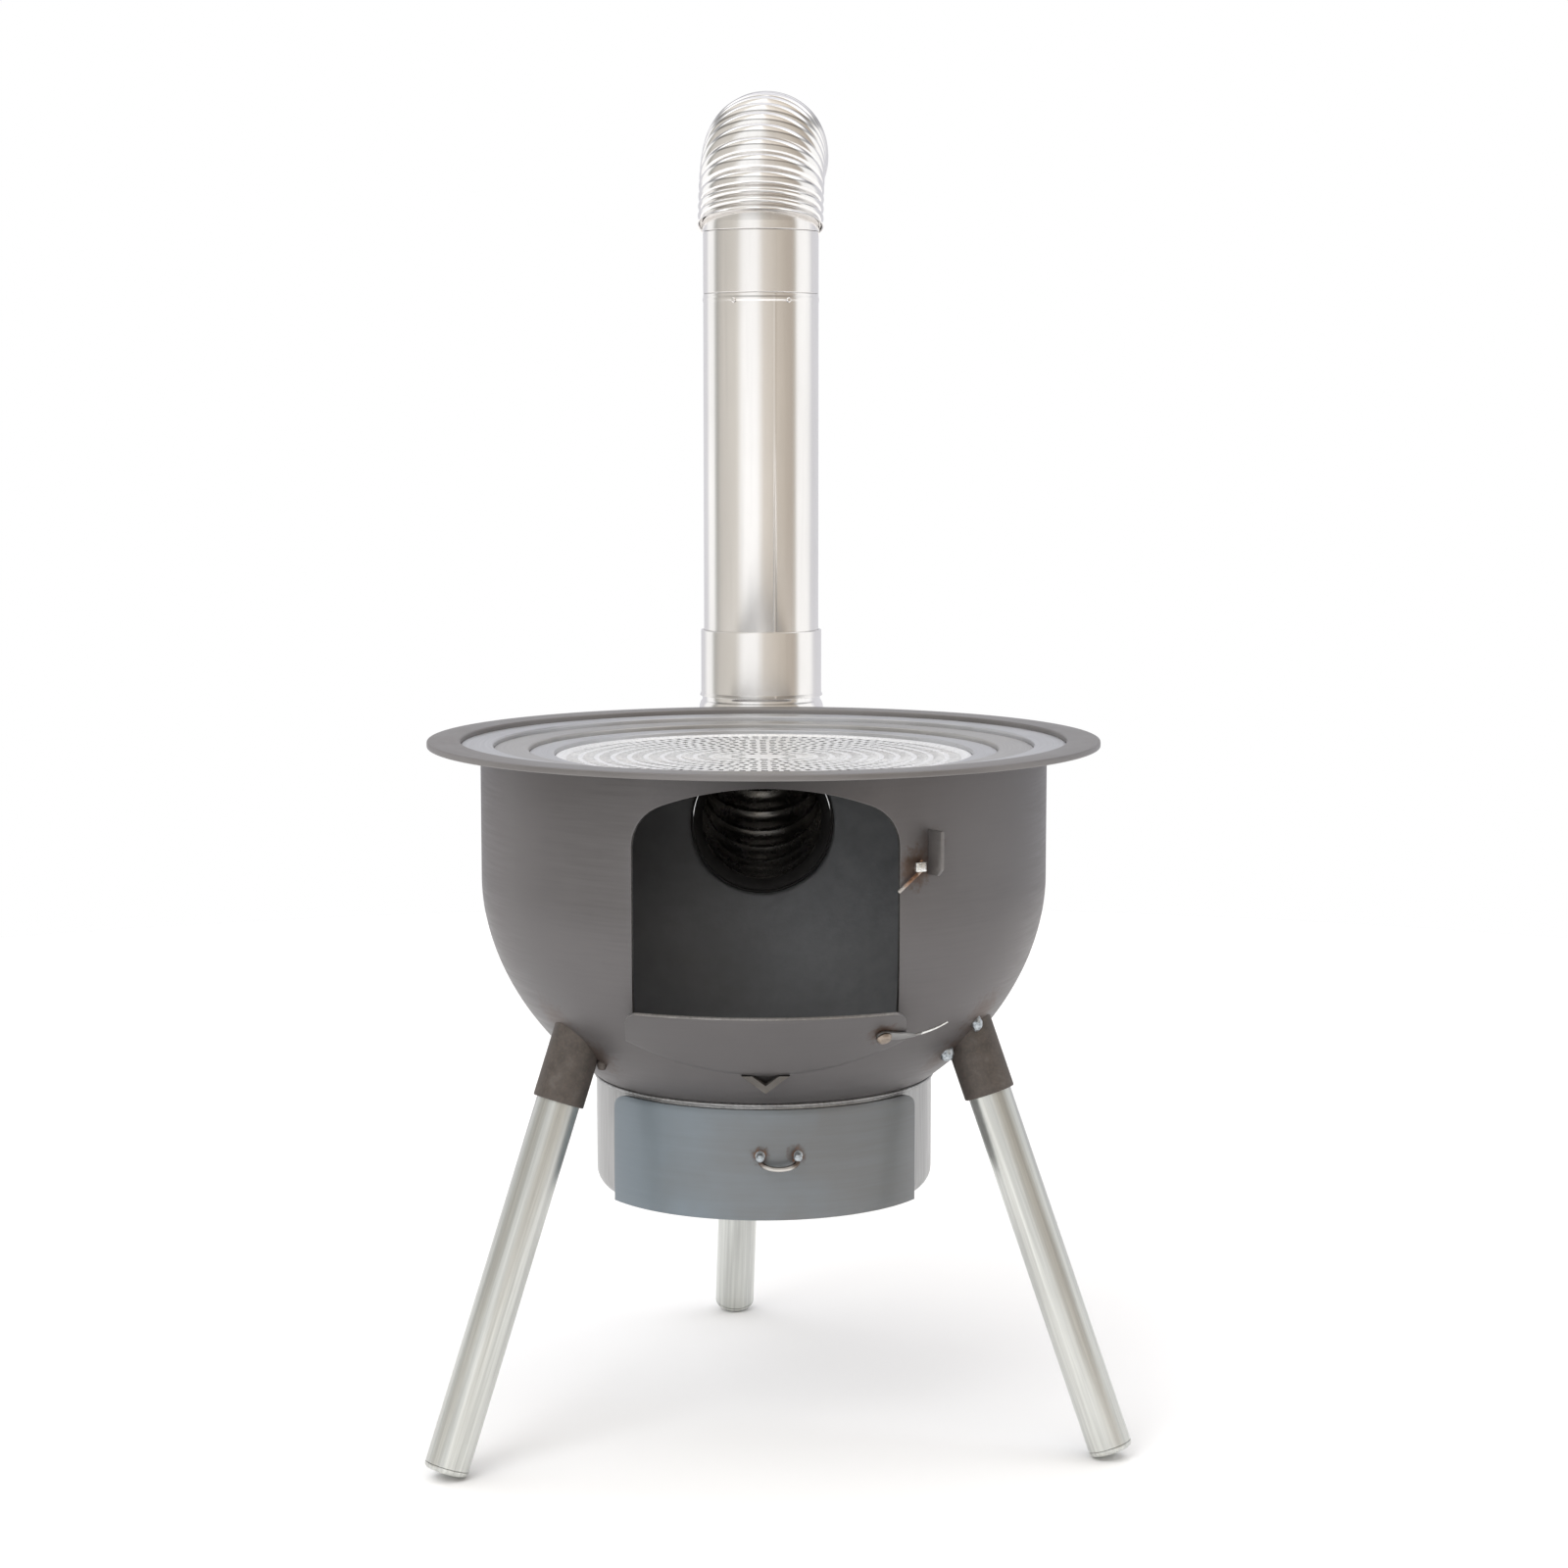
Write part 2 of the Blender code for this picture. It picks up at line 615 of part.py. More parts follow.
def make_tripod():
    socket_low = along_leg(SOCKET_FOOT)
    socket_high = along_leg(SOCKET_HEAD)
    bore = LEG_RADIUS + GAP
    for i in range(3):
        frame = leg_frame(i)
        cap_profile = [
            (0.0, CAP_THICKNESS),
            (LEG_RADIUS, CAP_THICKNESS),
            (LEG_RADIUS, CAP_EDGE),
            (LEG_RADIUS - CAP_EDGE, 0.0),
            (0.0, 0.0),
        ]
        cap = turned(f"foot_cap_{i + 1}", cap_profile, BRIGHT_STEEL, TUBE_ROUND, closed=False)
        leg_low = CAP_THICKNESS + GAP
        leg_high = along_leg(LEG_HEIGHT)
        leg = tube(f"leg_{i + 1}", LEG_RADIUS, LEG_WALL, leg_low, leg_high, BRIGHT_STEEL)
        socket_profile = [
            (SOCKET_RADIUS, socket_high),
            (SOCKET_RADIUS, socket_low + 0.001),
            (SOCKET_RADIUS - 0.0006, socket_low),
            (bore, socket_low),
            (bore, socket_high),
        ]
        socket = turned(f"leg_socket_{i + 1}", socket_profile, RAW_STEEL, TUBE_ROUND)
        for piece in (cap, leg, socket):
            piece.matrix_local = frame
        boolean(socket, dome_core)


def make_weld_tacks():
    """Blobs of weld where the two front sockets meet the dome."""
    for i, (leg_index, height, azimuth, size) in enumerate(WELD_TACKS):
        name = f"weld_tack_{i + 1}"
        bm = bmesh.new()
        bmesh.ops.create_uvsphere(bm, u_segments=12, v_segments=8, radius=1.0)
        bmesh.ops.scale(bm, verts=bm.verts, vec=size)
        tack = add_part(name, mesh_from(bm, name), BRIGHT_STEEL)
        out = dome_radius(height) + TACK_PROUD
        spot = (out * math.cos(azimuth), out * math.sin(azimuth), height)
        tack.matrix_local = Matrix.Translation(spot)
        foot, head = along_leg(SOCKET_FOOT), along_leg(SOCKET_HEAD)
        socket = cylinder_mesh(f"{name}_socket", SOCKET_RADIUS + GAP, foot, head, TUBE_ROUND)
        keep_out = add_cutter(f"{name}_socket", socket)
        keep_out.matrix_local = leg_frame(leg_index)
        boolean(tack, dome_core)
        boolean(tack, keep_out)


# ---------------------------------------------------------------- flue
def pleated_bend(name, bend, ribs, before, after):
    """A corrugated quarter bend that starts up local Z and ends along local Y.

    The pleats are full on the outside of the bend and fade out on its inside.
    before and after are plain stretches at the two ends.
    """
    rings = 2 * ribs
    bm = bmesh.new()
    bmesh.ops.create_grid(bm, x_segments=ELBOW_ROUND, y_segments=rings + 2, size=1.0)
    for vert in bm.verts:
        around = math.pi * vert.co.x
        ring = round((vert.co.y + 1.0) / 2.0 * (rings + 2)) - 1
        turn = (math.pi / 2.0) * min(max(ring, 0), rings) / rings
        inside = (1.0 + math.sin(around)) / 2.0
        pleat = (CREST_RADIUS - ROOT_RADIUS) * (1.0 - 0.85 * inside)
        radius = ROOT_RADIUS + (pleat if 0 <= ring <= rings and ring % 2 else 0.0)
        side = radius * math.cos(around)
        inward = bend - radius * math.sin(around)
        straight = -before if ring < 0 else (after if ring > rings else 0.0)
        y = bend - inward * math.cos(turn) + straight * math.sin(turn)
        z = inward * math.sin(turn) + straight * math.cos(turn)
        vert.co = (side, y, z)
    bmesh.ops.remove_doubles(bm, verts=bm.verts, dist=0.00002)
    part = add_part(name, mesh_from(bm, name), STAINLESS, 60.0)
    solidify(part, ELBOW_WALL)
    return part


def make_flue():
    upright = Matrix.Translation((0.0, FLUE_Y, 0.0))
    lay_back = Matrix.Translation((0.0, 0.0, INLET_Z)) @ Matrix.Rotation(-math.pi / 2, 4, "X")
    inlet = tube("flue_inlet", INLET_RADIUS, INLET_WALL, INLET_FRONT, INLET_BACK, RAW_STEEL)
    inlet.matrix_local = lay_back

    # The lower bend runs from the pipe down and forward, so it is a top bend turned over.
    elbow_top = INLET_Z + LOWER_BEND
    reach = FLUE_Y - LOWER_BEND - LOWER_START
    lower = pleated_bend("flue_elbow_lower", LOWER_BEND, LOWER_RIBS, ELBOW_PLAIN, reach)
    lower.matrix_local = (
        Matrix.Translation((0.0, FLUE_Y, elbow_top)) @ Matrix.Rotation(math.pi, 4, "X")
    )

    collar_foot = elbow_top + ELBOW_PLAIN + GAP
    pipe_foot = collar_foot + 0.002
    seat = ROOT_RADIUS - ELBOW_WALL - 0.0016
    collar_profile = [
        (COLLAR_RADIUS, COLLAR_TOP),
        (COLLAR_RADIUS, collar_foot + 0.003),
        (COLLAR_RADIUS + 0.0012, collar_foot),
        (seat, collar_foot),
        (seat, pipe_foot - GAP),
        (PIPE_RADIUS + GAP, pipe_foot - GAP),
        (PIPE_RADIUS + GAP, COLLAR_TOP),
    ]
    collar = turned("flue_collar_lower", collar_profile, STAINLESS, TUBE_ROUND)

    pipe = tube("flue_pipe_lower", PIPE_RADIUS, PIPE_WALL, pipe_foot, PIPE_JOINT, STAINLESS)
    spigot = PIPE_RADIUS - PIPE_WALL - GAP
    upper_profile = [
        (PIPE_RADIUS, PIPE_TOP),
        (PIPE_RADIUS, PIPE_JOINT + GAP),
        (spigot, PIPE_JOINT + GAP),
        (spigot, PIPE_JOINT - SPIGOT_LENGTH),
        (spigot - PIPE_WALL, PIPE_JOINT - SPIGOT_LENGTH),
        (spigot - PIPE_WALL, PIPE_TOP),
    ]
    upper = turned("flue_pipe_upper", upper_profile, STAINLESS, TUBE_ROUND)
    for piece in (collar, pipe, upper):
        piece.matrix_local = upright

    rivet_profile = [
        (0.0, RIVET_HEAD),
        (RIVET_RADIUS * 0.6, RIVET_HEAD * 0.67),
        (RIVET_RADIUS, 0.0),
        (0.0, 0.0),
    ]
    for i, azimuth in enumerate(RIVET_AZIMUTHS):
        rivet = turned(f"flue_rivet_{i + 1}", rivet_profile, STAINLESS, 10, closed=False)
        seat_frame = turn_frame(math.radians(azimuth), PIPE_RADIUS + GAP, PIPE_JOINT - 0.006)
        rivet.matrix_local = upright @ seat_frame

    swivel = upright @ Matrix.Rotation(TOP_TURN, 4, "Z")
    sleeve_foot = PIPE_TOP - SLEEVE_LENGTH
    sleeve_top = TOP_START - ELBOW_PLAIN - GAP
    inside = (spigot - PIPE_WALL) * math.cos(math.pi / TUBE_ROUND) - GAP
    sleeve_profile = [
        (ROOT_RADIUS - GAP, sleeve_top),
        (ROOT_RADIUS - GAP, PIPE_TOP + GAP),
        (inside, PIPE_TOP + GAP),
        (inside, sleeve_foot),
        (inside - PIPE_WALL, sleeve_foot),
        (inside - PIPE_WALL, sleeve_top),
    ]
    sleeve = turned("flue_collar_top", sleeve_profile, STAINLESS, TUBE_ROUND)
    sleeve.matrix_local = swivel
    top = pleated_bend("flue_elbow_top", TOP_BEND, TOP_RIBS, ELBOW_PLAIN, OUTLET_LENGTH)
    top.matrix_local = swivel @ Matrix.Translation((0.0, 0.0, TOP_START))
    band_radius = ROOT_RADIUS + GAP + BAND_WALL
    band_end = OUTLET_LENGTH - BAND_LENGTH
    band = tube("flue_outlet_band", band_radius, BAND_WALL, band_end, OUTLET_LENGTH, STAINLESS,
                ELBOW_ROUND)
    outlet = Matrix.Translation((0.0, TOP_BEND, TOP_START + TOP_BEND))
    band.matrix_local = swivel @ outlet @ Matrix.Rotation(-math.pi / 2, 4, "X")


# ---------------------------------------------------------------- catch and lever
def bolt(name, frame, grip):
    """A bolt whose shank stands out of the surface, with a round head."""
    profile = [
        (0.0, grip + BOLT_HEAD_HEIGHT),
        (BOLT_HEAD * 0.82, grip + BOLT_HEAD_HEIGHT),
        (BOLT_HEAD, grip + BOLT_HEAD_HEIGHT * 0.8),
        (BOLT_HEAD, grip),
        (BOLT_SHANK, grip),
        (BOLT_SHANK, 0.0),
        (0.0, 0.0),
    ]
    part = turned(name, profile, BRIGHT_STEEL, steps=12, closed=False)
    part.matrix_local = frame


def make_catch():
    """A radial lug and, beside it, a bolt that carries a wire hook."""
    frame = turn_frame(CATCH_AZIMUTH, BOWL_RADIUS + GAP, CATCH_Z)
    bolt("catch_bolt", frame, CATCH_GRIP)
    eye = BOLT_SHANK + WIRE_RADIUS + GAP * 2.0
    leave = CATCH_AIM + math.radians(75.0)
    points = []
    for i in range(13):
        angle = leave + math.radians(265.0) * (1.0 - i / 12.0)
        points.append((eye * math.cos(angle), eye * math.sin(angle), 0.0))
    points.append((CATCH_REACH * math.cos(CATCH_AIM), CATCH_REACH * math.sin(CATCH_AIM), 0.0))
    hook = add_part("catch_hook", wire_mesh("catch_hook", points, WIRE_RADIUS), RUSTY_WIRE)
    hook.matrix_local = frame @ Matrix.Translation((0.0, 0.0, CATCH_GRIP / 2.0))

    foot = BOWL_RADIUS + GAP
    outline = [
        (foot, LUG_BOTTOM),
        (foot + LUG_DEPTH - LUG_CHAMFER, LUG_BOTTOM),
        (foot + LUG_DEPTH, LUG_BOTTOM + LUG_CHAMFER),
        (foot + LUG_DEPTH, LUG_TOP),
        (foot, LUG_TOP),
    ]
    half = LUG_SHEET / 2.0
    lug = add_part("catch_lug", prism_mesh("catch_lug", outline, -half, half), BOWL_STEEL)
    lug.matrix_local = Matrix.Rotation(LUG_AZIMUTH, 4, "Z")


def make_lever():
    """A flat leaf with a wire tail, turning on a bolt through the sill plate."""
    slope = math.atan(SILL_SLOPE)
    frame = turn_frame(LEVER_AZIMUTH, sill_radius(LEVER_Z) + GAP, LEVER_Z, slope)
    thick = LEVER_SHEET
    length = LEVER_LENGTH
    bolt("lever_bolt", frame, thick + 2.0 * GAP)
    outline = arc((0.0, 0.0), LEVER_ROOT, 60.0, 300.0, 8)
    outline += [(length * 0.55, -0.0046), (length, -0.0006), (length, 0.0012), (length * 0.5, 0.0032)]
    leaf = add_part("lever", prism_mesh("lever", outline, 0.0, thick, "Z"), BRIGHT_STEEL)
    place = frame @ Matrix.Translation((0.0, 0.0, GAP))
    leaf.matrix_local = place
    hole = add_cutter("lever_hole", cylinder_mesh("lever_hole", BOLT_SHANK + GAP, -0.01, 0.01, 12))
    hole.matrix_local = place
    boolean(leaf, hole)
    tail = [
        (length - 0.006, 0.0001, thick / 2.0),
        (length, 0.0006, thick / 2.0),
        (length + 0.006, 0.0046, 0.0016),
        (length + 0.011, 0.0104, 0.0026),
        (length + 0.015, 0.0180, 0.0036),
    ]
    wire = add_cutter("lever_tail", wire_mesh("lever_tail", tail, LEVER_WIRE))
    wire.matrix_local = place
    boolean(leaf, wire, "UNION")


# ---------------------------------------------------------------- assembly
# The filled shape of the bowl, a gap larger, cuts whatever is fitted against its outside.
core_profile = [(0.0, 0.50)] + dome_profile(0.50, 0.02, GAP, 24)
core_profile.append((0.0, dome_height(0.0) - GAP))
dome_core = turned_cutter("dome_core", core_profile)

make_bowl()
make_sill_plate()
make_sill_bracket()
make_rings()
make_grill()
make_fire_grate()
make_ash_drum()
make_drawer_front()
make_drawer_tray()
make_drawer_handle()
make_tripod()
make_weld_tacks()
make_flue()
make_catch()
make_lever()


def centre_on_origin():
    """Move the stove so that the middle of its plan stands on the origin."""
    bpy.context.view_layer.update()
    depsgraph = bpy.context.evaluated_depsgraph_get()
    places = []
    for part in parts.objects:
        if part.type == "MESH":
            evaluated = part.evaluated_get(depsgraph)
            places += [evaluated.matrix_world @ vert.co for vert in evaluated.data.vertices]
    for axis in (0, 1):
        values = [place[axis] for place in places]
        stove.location[axis] = -(min(values) + max(values)) / 2.0
    bpy.context.view_layer.update()


centre_on_origin()
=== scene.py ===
"""Looks of a round steel garden stove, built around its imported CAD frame.

Metres, +Z up, front towards -Y. Pieces are modelled about the bowl's axis with the floor at
zero and then moved to where the frame has that axis.
"""

import json
import math

import bmesh
import bpy
from mathutils import Matrix, Vector

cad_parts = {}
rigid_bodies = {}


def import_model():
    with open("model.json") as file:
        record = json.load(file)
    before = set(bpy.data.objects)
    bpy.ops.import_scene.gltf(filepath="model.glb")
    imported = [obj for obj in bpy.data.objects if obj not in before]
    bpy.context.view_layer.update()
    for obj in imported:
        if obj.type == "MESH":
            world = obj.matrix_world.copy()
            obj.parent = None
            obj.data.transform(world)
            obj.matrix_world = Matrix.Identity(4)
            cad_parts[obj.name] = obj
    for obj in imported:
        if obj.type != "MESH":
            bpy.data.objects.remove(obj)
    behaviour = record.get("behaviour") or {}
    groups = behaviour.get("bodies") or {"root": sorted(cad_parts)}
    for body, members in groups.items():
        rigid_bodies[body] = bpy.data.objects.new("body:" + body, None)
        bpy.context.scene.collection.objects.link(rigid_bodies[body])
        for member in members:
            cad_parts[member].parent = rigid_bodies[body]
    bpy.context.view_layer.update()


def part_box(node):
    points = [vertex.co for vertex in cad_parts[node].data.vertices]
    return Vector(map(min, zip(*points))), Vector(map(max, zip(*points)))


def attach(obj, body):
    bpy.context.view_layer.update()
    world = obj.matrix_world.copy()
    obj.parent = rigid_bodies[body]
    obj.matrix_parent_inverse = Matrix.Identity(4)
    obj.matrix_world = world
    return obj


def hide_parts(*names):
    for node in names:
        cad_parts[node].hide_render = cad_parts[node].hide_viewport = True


for old in list(bpy.data.objects):
    bpy.data.objects.remove(old, do_unlink=True)

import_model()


def middle(node):
    low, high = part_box(node)
    return (low + high) / 2.0


# ---------------------------------------------------------------- driving dimensions
GAP = 0.0003
SHEET = 0.003
RING_SHEET = 0.002
MESH_SHEET = 0.0006

rim_low, rim_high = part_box("top_rim")
AXIS = Vector((middle("top_rim").x, middle("top_rim").y, 0.0))
RIM_RADIUS = (rim_high.x - rim_low.x) / 2.0
RIM_TOP = rim_high.z
RIM_LIP = 0.0048
RING_DROP = 0.0033
RING_RISER = 0.0056
STEP_RADII = (0.2253, 0.2011, 0.1748, 0.1560)
LEDGE_WIDTH = 0.0165
RIM_SEAT = RIM_TOP - RING_SHEET - RING_RISER

BOWL_RADIUS = 0.2105
BOWL_SHOULDER = 0.4132
BOWL_DEPTH = 0.1907
BOWL_POWER = 1.90
BOWL_THROAT = 0.100
MOUTH_HALF = 0.0930
MOUTH_BOTTOM = 0.336
MOUTH_TOP = 0.5017
MOUTH_ARCH = 0.2025
MOUTH_CORNER = 0.032

SILL_TOP = 0.342
SILL_TOP_RADIUS = 0.2130
SILL_SLOPE = 1.06
SILL_HALF = 0.0985
SILL_END_BOTTOM = 0.3175
SILL_MIDDLE_BOTTOM = 0.2925
SILL_SHEET = 0.0025
SILL_CORNER = 0.009

DRUM_RADIUS = 0.126
DRUM_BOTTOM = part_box("ash_drum")[0].z
DRUM_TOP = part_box("ash_drum")[1].z
DRUM_EDGE = 0.014
DRUM_SHEET = 0.002
DRAWER_SHEET = 0.0025
DRAWER_HALF = 0.1105
DRAWER_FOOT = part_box("drawer_front")[0].z
DRAWER_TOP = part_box("drawer_front")[1].z - 0.0018
DRAWER_CORNER = 0.010
TRAY_HALF = 0.080
TRAY_BOTTOM = 0.1805
TRAY_TOP = 0.2360
TRAY_SHEET = 0.0015
SLOT_CLEARANCE = 0.0025
SLOT_DROP = 0.0018                 # room under the tray
HANDLE_X = 0.0098
HANDLE_HALF = 0.0135
HANDLE_Z = 0.2275
HANDLE_SAG = 0.0082
HANDLE_STAND = 0.0085
HANDLE_WIRE = 0.0019

LEG_RADIUS = 0.016
LEG_WALL = 0.0015
LEG_FLOOR_RADIUS = 0.2805
LEG_SPREAD = math.radians(20.64)
LEG_TURN = math.radians(4.8)
LEG_HEIGHT = 0.292
SOCKET_RADIUS = 0.01875
SOCKET_FOOT = 0.262
CAP_THICKNESS = 0.004
CAP_EDGE = 0.0016

FLUE_Y = middle("flue_pipe_lower").y - AXIS.y
PIPE_RADIUS = 0.048
PIPE_WALL = 0.0012
INLET_Z = 0.4265
INLET_RADIUS = 0.0578
INLET_WALL = 0.0016
INLET_BACK = 0.236
INLET_FRONT = 0.196
CREST_RADIUS = 0.0540
ROOT_RADIUS = 0.0495
ELBOW_WALL = 0.0010
LOWER_BEND = 0.090
LOWER_RIBS = 10
LOWER_START = 0.201
COLLAR_RADIUS = 0.0505
COLLAR_TOP = 0.575
PIPE_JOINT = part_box("flue_pipe_lower")[1].z
PIPE_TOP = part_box("flue_pipe_upper")[1].z
PIPE_RISE = 0.0045
TOP_BEND = 0.0565
TOP_RIBS = 12
TOP_START = 0.9140
TOP_TURN = math.radians(-5.6)
TOP_LEAN = math.radians(14.0)
TOP_LIP = (-0.0015, -0.0060)      # middle of the open end, back and up from the bend's corner
OUTLET_LENGTH = 0.010
ELBOW_PLAIN = 0.003
SEAM_AZIMUTH = math.radians(-76.4)
COLLAR_SEAM = 0.0003
PIPE_SEAM = 0.0002                 # lower than the gap to the collar round it

CATCH_AZIMUTH = math.radians(-60.4)
CATCH_Z = 0.4448
CATCH_GRIP = 0.0045
CATCH_REACH = 0.0215
CATCH_AIM = math.radians(228.0)
LUG_AZIMUTH = math.radians(-57.3)
LUG_DEPTH = 0.0155
LUG_BOTTOM = 0.4380
LUG_TOP = 0.4695
LUG_CHAMFER = 0.005
LUG_SHEET = 0.0025
LEVER_AZIMUTH = math.radians(-65.3)
LEVER_Z = 0.3253
LEVER_SHEET = 0.0020
LEVER_ROOT = 0.0052
LEVER_LENGTH = 0.0270
LEVER_DROOP = math.radians(-7.0)
LEVER_PLAY = 0.0010                # room round the bolt, hidden under its head
BOLT_SHANK = 0.0025
BOLT_HEAD = 0.0056
WIRE_RADIUS = 0.0012

ROUND = 224                       # columns round the large turned pieces
TUBE_ROUND = 112                  # columns round the flue
LEG_ROUND = 72                    # columns round a leg


# ---------------------------------------------------------------- shader helpers
def add_node(tree, kind, inputs=(), **settings):
    """A node with its settings, and each input either linked to a socket or set to a value."""
    made = tree.nodes.new(kind)
    for key, value in settings.items():
        setattr(made, key, value)
    for key, value in inputs:
        if isinstance(value, bpy.types.NodeSocket):
            tree.links.new(value, made.inputs[key])
        else:
            made.inputs[key].default_value = value
    return made


class Finish:
    """A procedural material, built up from a few kinds of node."""

    def __init__(self, name, colour, metallic, roughness):
        self.material = bpy.data.materials.new(name)
        self.material.use_nodes = True
        self.tree = self.material.node_tree
        self.shader = self.tree.nodes["Principled BSDF"]
        self.shader.inputs["Base Color"].default_value = (*colour, 1.0)
        self.shader.inputs["Metallic"].default_value = metallic
        self.shader.inputs["Roughness"].default_value = roughness
        self.place = self.tree.nodes.new("ShaderNodeTexCoord").outputs["Object"]

    def node(self, kind, inputs=(), **settings):
        return add_node(self.tree, kind, inputs, **settings)

    def math(self, operation, a, b=0.0, clamp=False):
        inputs = [(0, a), (1, b)]
        return self.node("ShaderNodeMath", inputs, operation=operation, use_clamp=clamp).outputs[0]

    def stretched(self, scale, turn=(0.0, 0.0, 0.0), place=None):
        """The object's own coordinates, scaled along each axis."""
        inputs = [("Vector", place or self.place), ("Scale", scale), ("Rotation", turn)]
        return self.node("ShaderNodeMapping", inputs).outputs[0]

    def noise(self, scale, detail=4.0, stretch=None, roughness=0.55, place=None):
        vector = self.stretched(stretch, place=place) if stretch else (place or self.place)
        inputs = [("Vector", vector), ("Scale", scale), ("Detail", detail), ("Roughness", roughness)]
        return self.node("ShaderNodeTexNoise", inputs).outputs[0]

    def polar(self):
        """Angle, radius and height about the local Z axis, the angle in metres of arc."""
        parts = self.node("ShaderNodeSeparateXYZ", [(0, self.place)]).outputs
        angle = self.math("ARCTAN2", parts[0], self.math("MULTIPLY", parts[1], -1.0))
        across = self.math("MULTIPLY", parts[0], parts[0])
        along = self.math("MULTIPLY", parts[1], parts[1])
        radius = self.math("SQRT", self.math("ADD", across, along))
        arc = self.math("MULTIPLY", angle, 0.2)
        return self.node("ShaderNodeCombineXYZ", [(0, arc), (1, radius), (2, parts[2])]).outputs[0]

    def ranged(self, value, low, high, to_low=0.0, to_high=1.0):
        inputs = [(0, value), (1, low), (2, high), (3, to_low), (4, to_high)]
        return self.node("ShaderNodeMapRange", inputs).outputs[0]

    def mixed(self, share, a, b):
        ends = [value if isinstance(value, bpy.types.NodeSocket) else (*value, 1.0) for value in (a, b)]
        inputs = [(0, share), (6, ends[0]), (7, ends[1])]
        return self.node("ShaderNodeMix", inputs, data_type="RGBA", blend_type="MIX").outputs[2]

    def near(self, centre, reach, soften=0.6, ragged=0.35):
        """1 near a point of the piece, fading to 0 at reach, with a ragged edge."""
        inputs = [(0, self.place), (1, centre)]
        distance = self.node("ShaderNodeVectorMath", inputs, operation="DISTANCE").outputs["Value"]
        wobble = self.ranged(self.noise(220.0, 3.0), 0.3, 0.7, 1.0 - ragged, 1.0 + ragged)
        return self.ranged(self.math("MULTIPLY", distance, wobble), reach, reach * (1.0 - soften))

    def colour(self, value):
        self.tree.links.new(value, self.shader.inputs["Base Color"])

    def roughness(self, value):
        self.tree.links.new(value, self.shader.inputs["Roughness"])

    def bump(self, *layers):
        """Stacks height layers, each (height, strength, distance)."""
        normal = None
        for height, strength, distance in layers:
            inputs = [("Height", height), ("Strength", strength), ("Distance", distance)]
            if normal:
                inputs.append(("Normal", normal))
            normal = self.node("ShaderNodeBump", inputs).outputs[0]
        self.tree.links.new(normal, self.shader.inputs["Normal"])
        return self.material


def shade(colour, factor):
    return tuple(min(1.0, channel * factor) for channel in colour)


# ---------------------------------------------------------------- materials
HEAT_BROWN = (0.085, 0.052, 0.036)
RUST = (0.30, 0.115, 0.035)


def rolled_steel(name, colour, roughness, stains=(), metallic=0.55, painted_shadow=()):
    """Dark sheet steel with a rolled skin: soft clouds, fine drawn lines, heat stains and a painted
    shadow.
    """
    finish = Finish(name, colour, metallic, roughness)
    polar = finish.polar()
    clouds = finish.noise(7.0, 5.0)
    drawn = finish.noise(60.0, 5.0, stretch=(0.35, 1.0, 7.0), place=polar)
    grain = finish.noise(1500.0, 2.0)
    tone = finish.mixed(finish.ranged(clouds, 0.3, 0.7), shade(colour, 0.86), shade(colour, 1.14))
    tone = finish.mixed(finish.ranged(drawn, 0.35, 0.7, 0.0, 0.35), tone, shade(colour, 1.30))
    warm = finish.noise(3.2, 2.0)
    tone = finish.mixed(finish.ranged(warm, 0.42, 0.66, 0.0, 0.30), tone, (0.138, 0.120, 0.116))
    for centre, reach, depth in stains:
        stain = finish.math("MULTIPLY", finish.near(centre, reach), depth)
        tone = finish.mixed(stain, tone, HEAT_BROWN)
    # painted shadow: darkens the steel round a point, standing in for shade that falls there
    for centre, reach, depth in painted_shadow:
        shadow_share = finish.math("MULTIPLY", finish.near(centre, reach, 1.0, 0.05), depth)
        tone = finish.mixed(shadow_share, tone, shade(colour, 0.35))
    finish.colour(tone)
    worn = finish.math("ADD", finish.ranged(clouds, 0.3, 0.7, -0.05, 0.06), roughness)
    finish.roughness(finish.math("ADD", worn, finish.ranged(drawn, 0.3, 0.7, -0.05, 0.05)))
    return finish.bump((drawn, 0.10, 0.0006), (grain, 0.14, 0.00025))


def turned_steel(name, colour, roughness):
    """A cooking ring: fine turning marks round the middle, and patches of handling."""
    finish = Finish(name, colour, 0.75, roughness)
    polar = finish.polar()
    marks = finish.noise(900.0, 3.0, stretch=(0.02, 1.0, 0.6), place=polar)
    patches = finish.noise(16.0, 5.0)
    tone = finish.mixed(finish.ranged(patches, 0.3, 0.7), shade(colour, 0.86), shade(colour, 1.16))
    tone = finish.mixed(finish.ranged(marks, 0.35, 0.7, 0.0, 0.45), tone, shade(colour, 1.35))
    finish.colour(tone)
    finish.roughness(finish.math("ADD", finish.ranged(patches, 0.3, 0.7, -0.07, 0.08), roughness))
    return finish.bump((marks, 0.10, 0.0003), (finish.noise(1400.0, 2.0), 0.10, 0.0002))


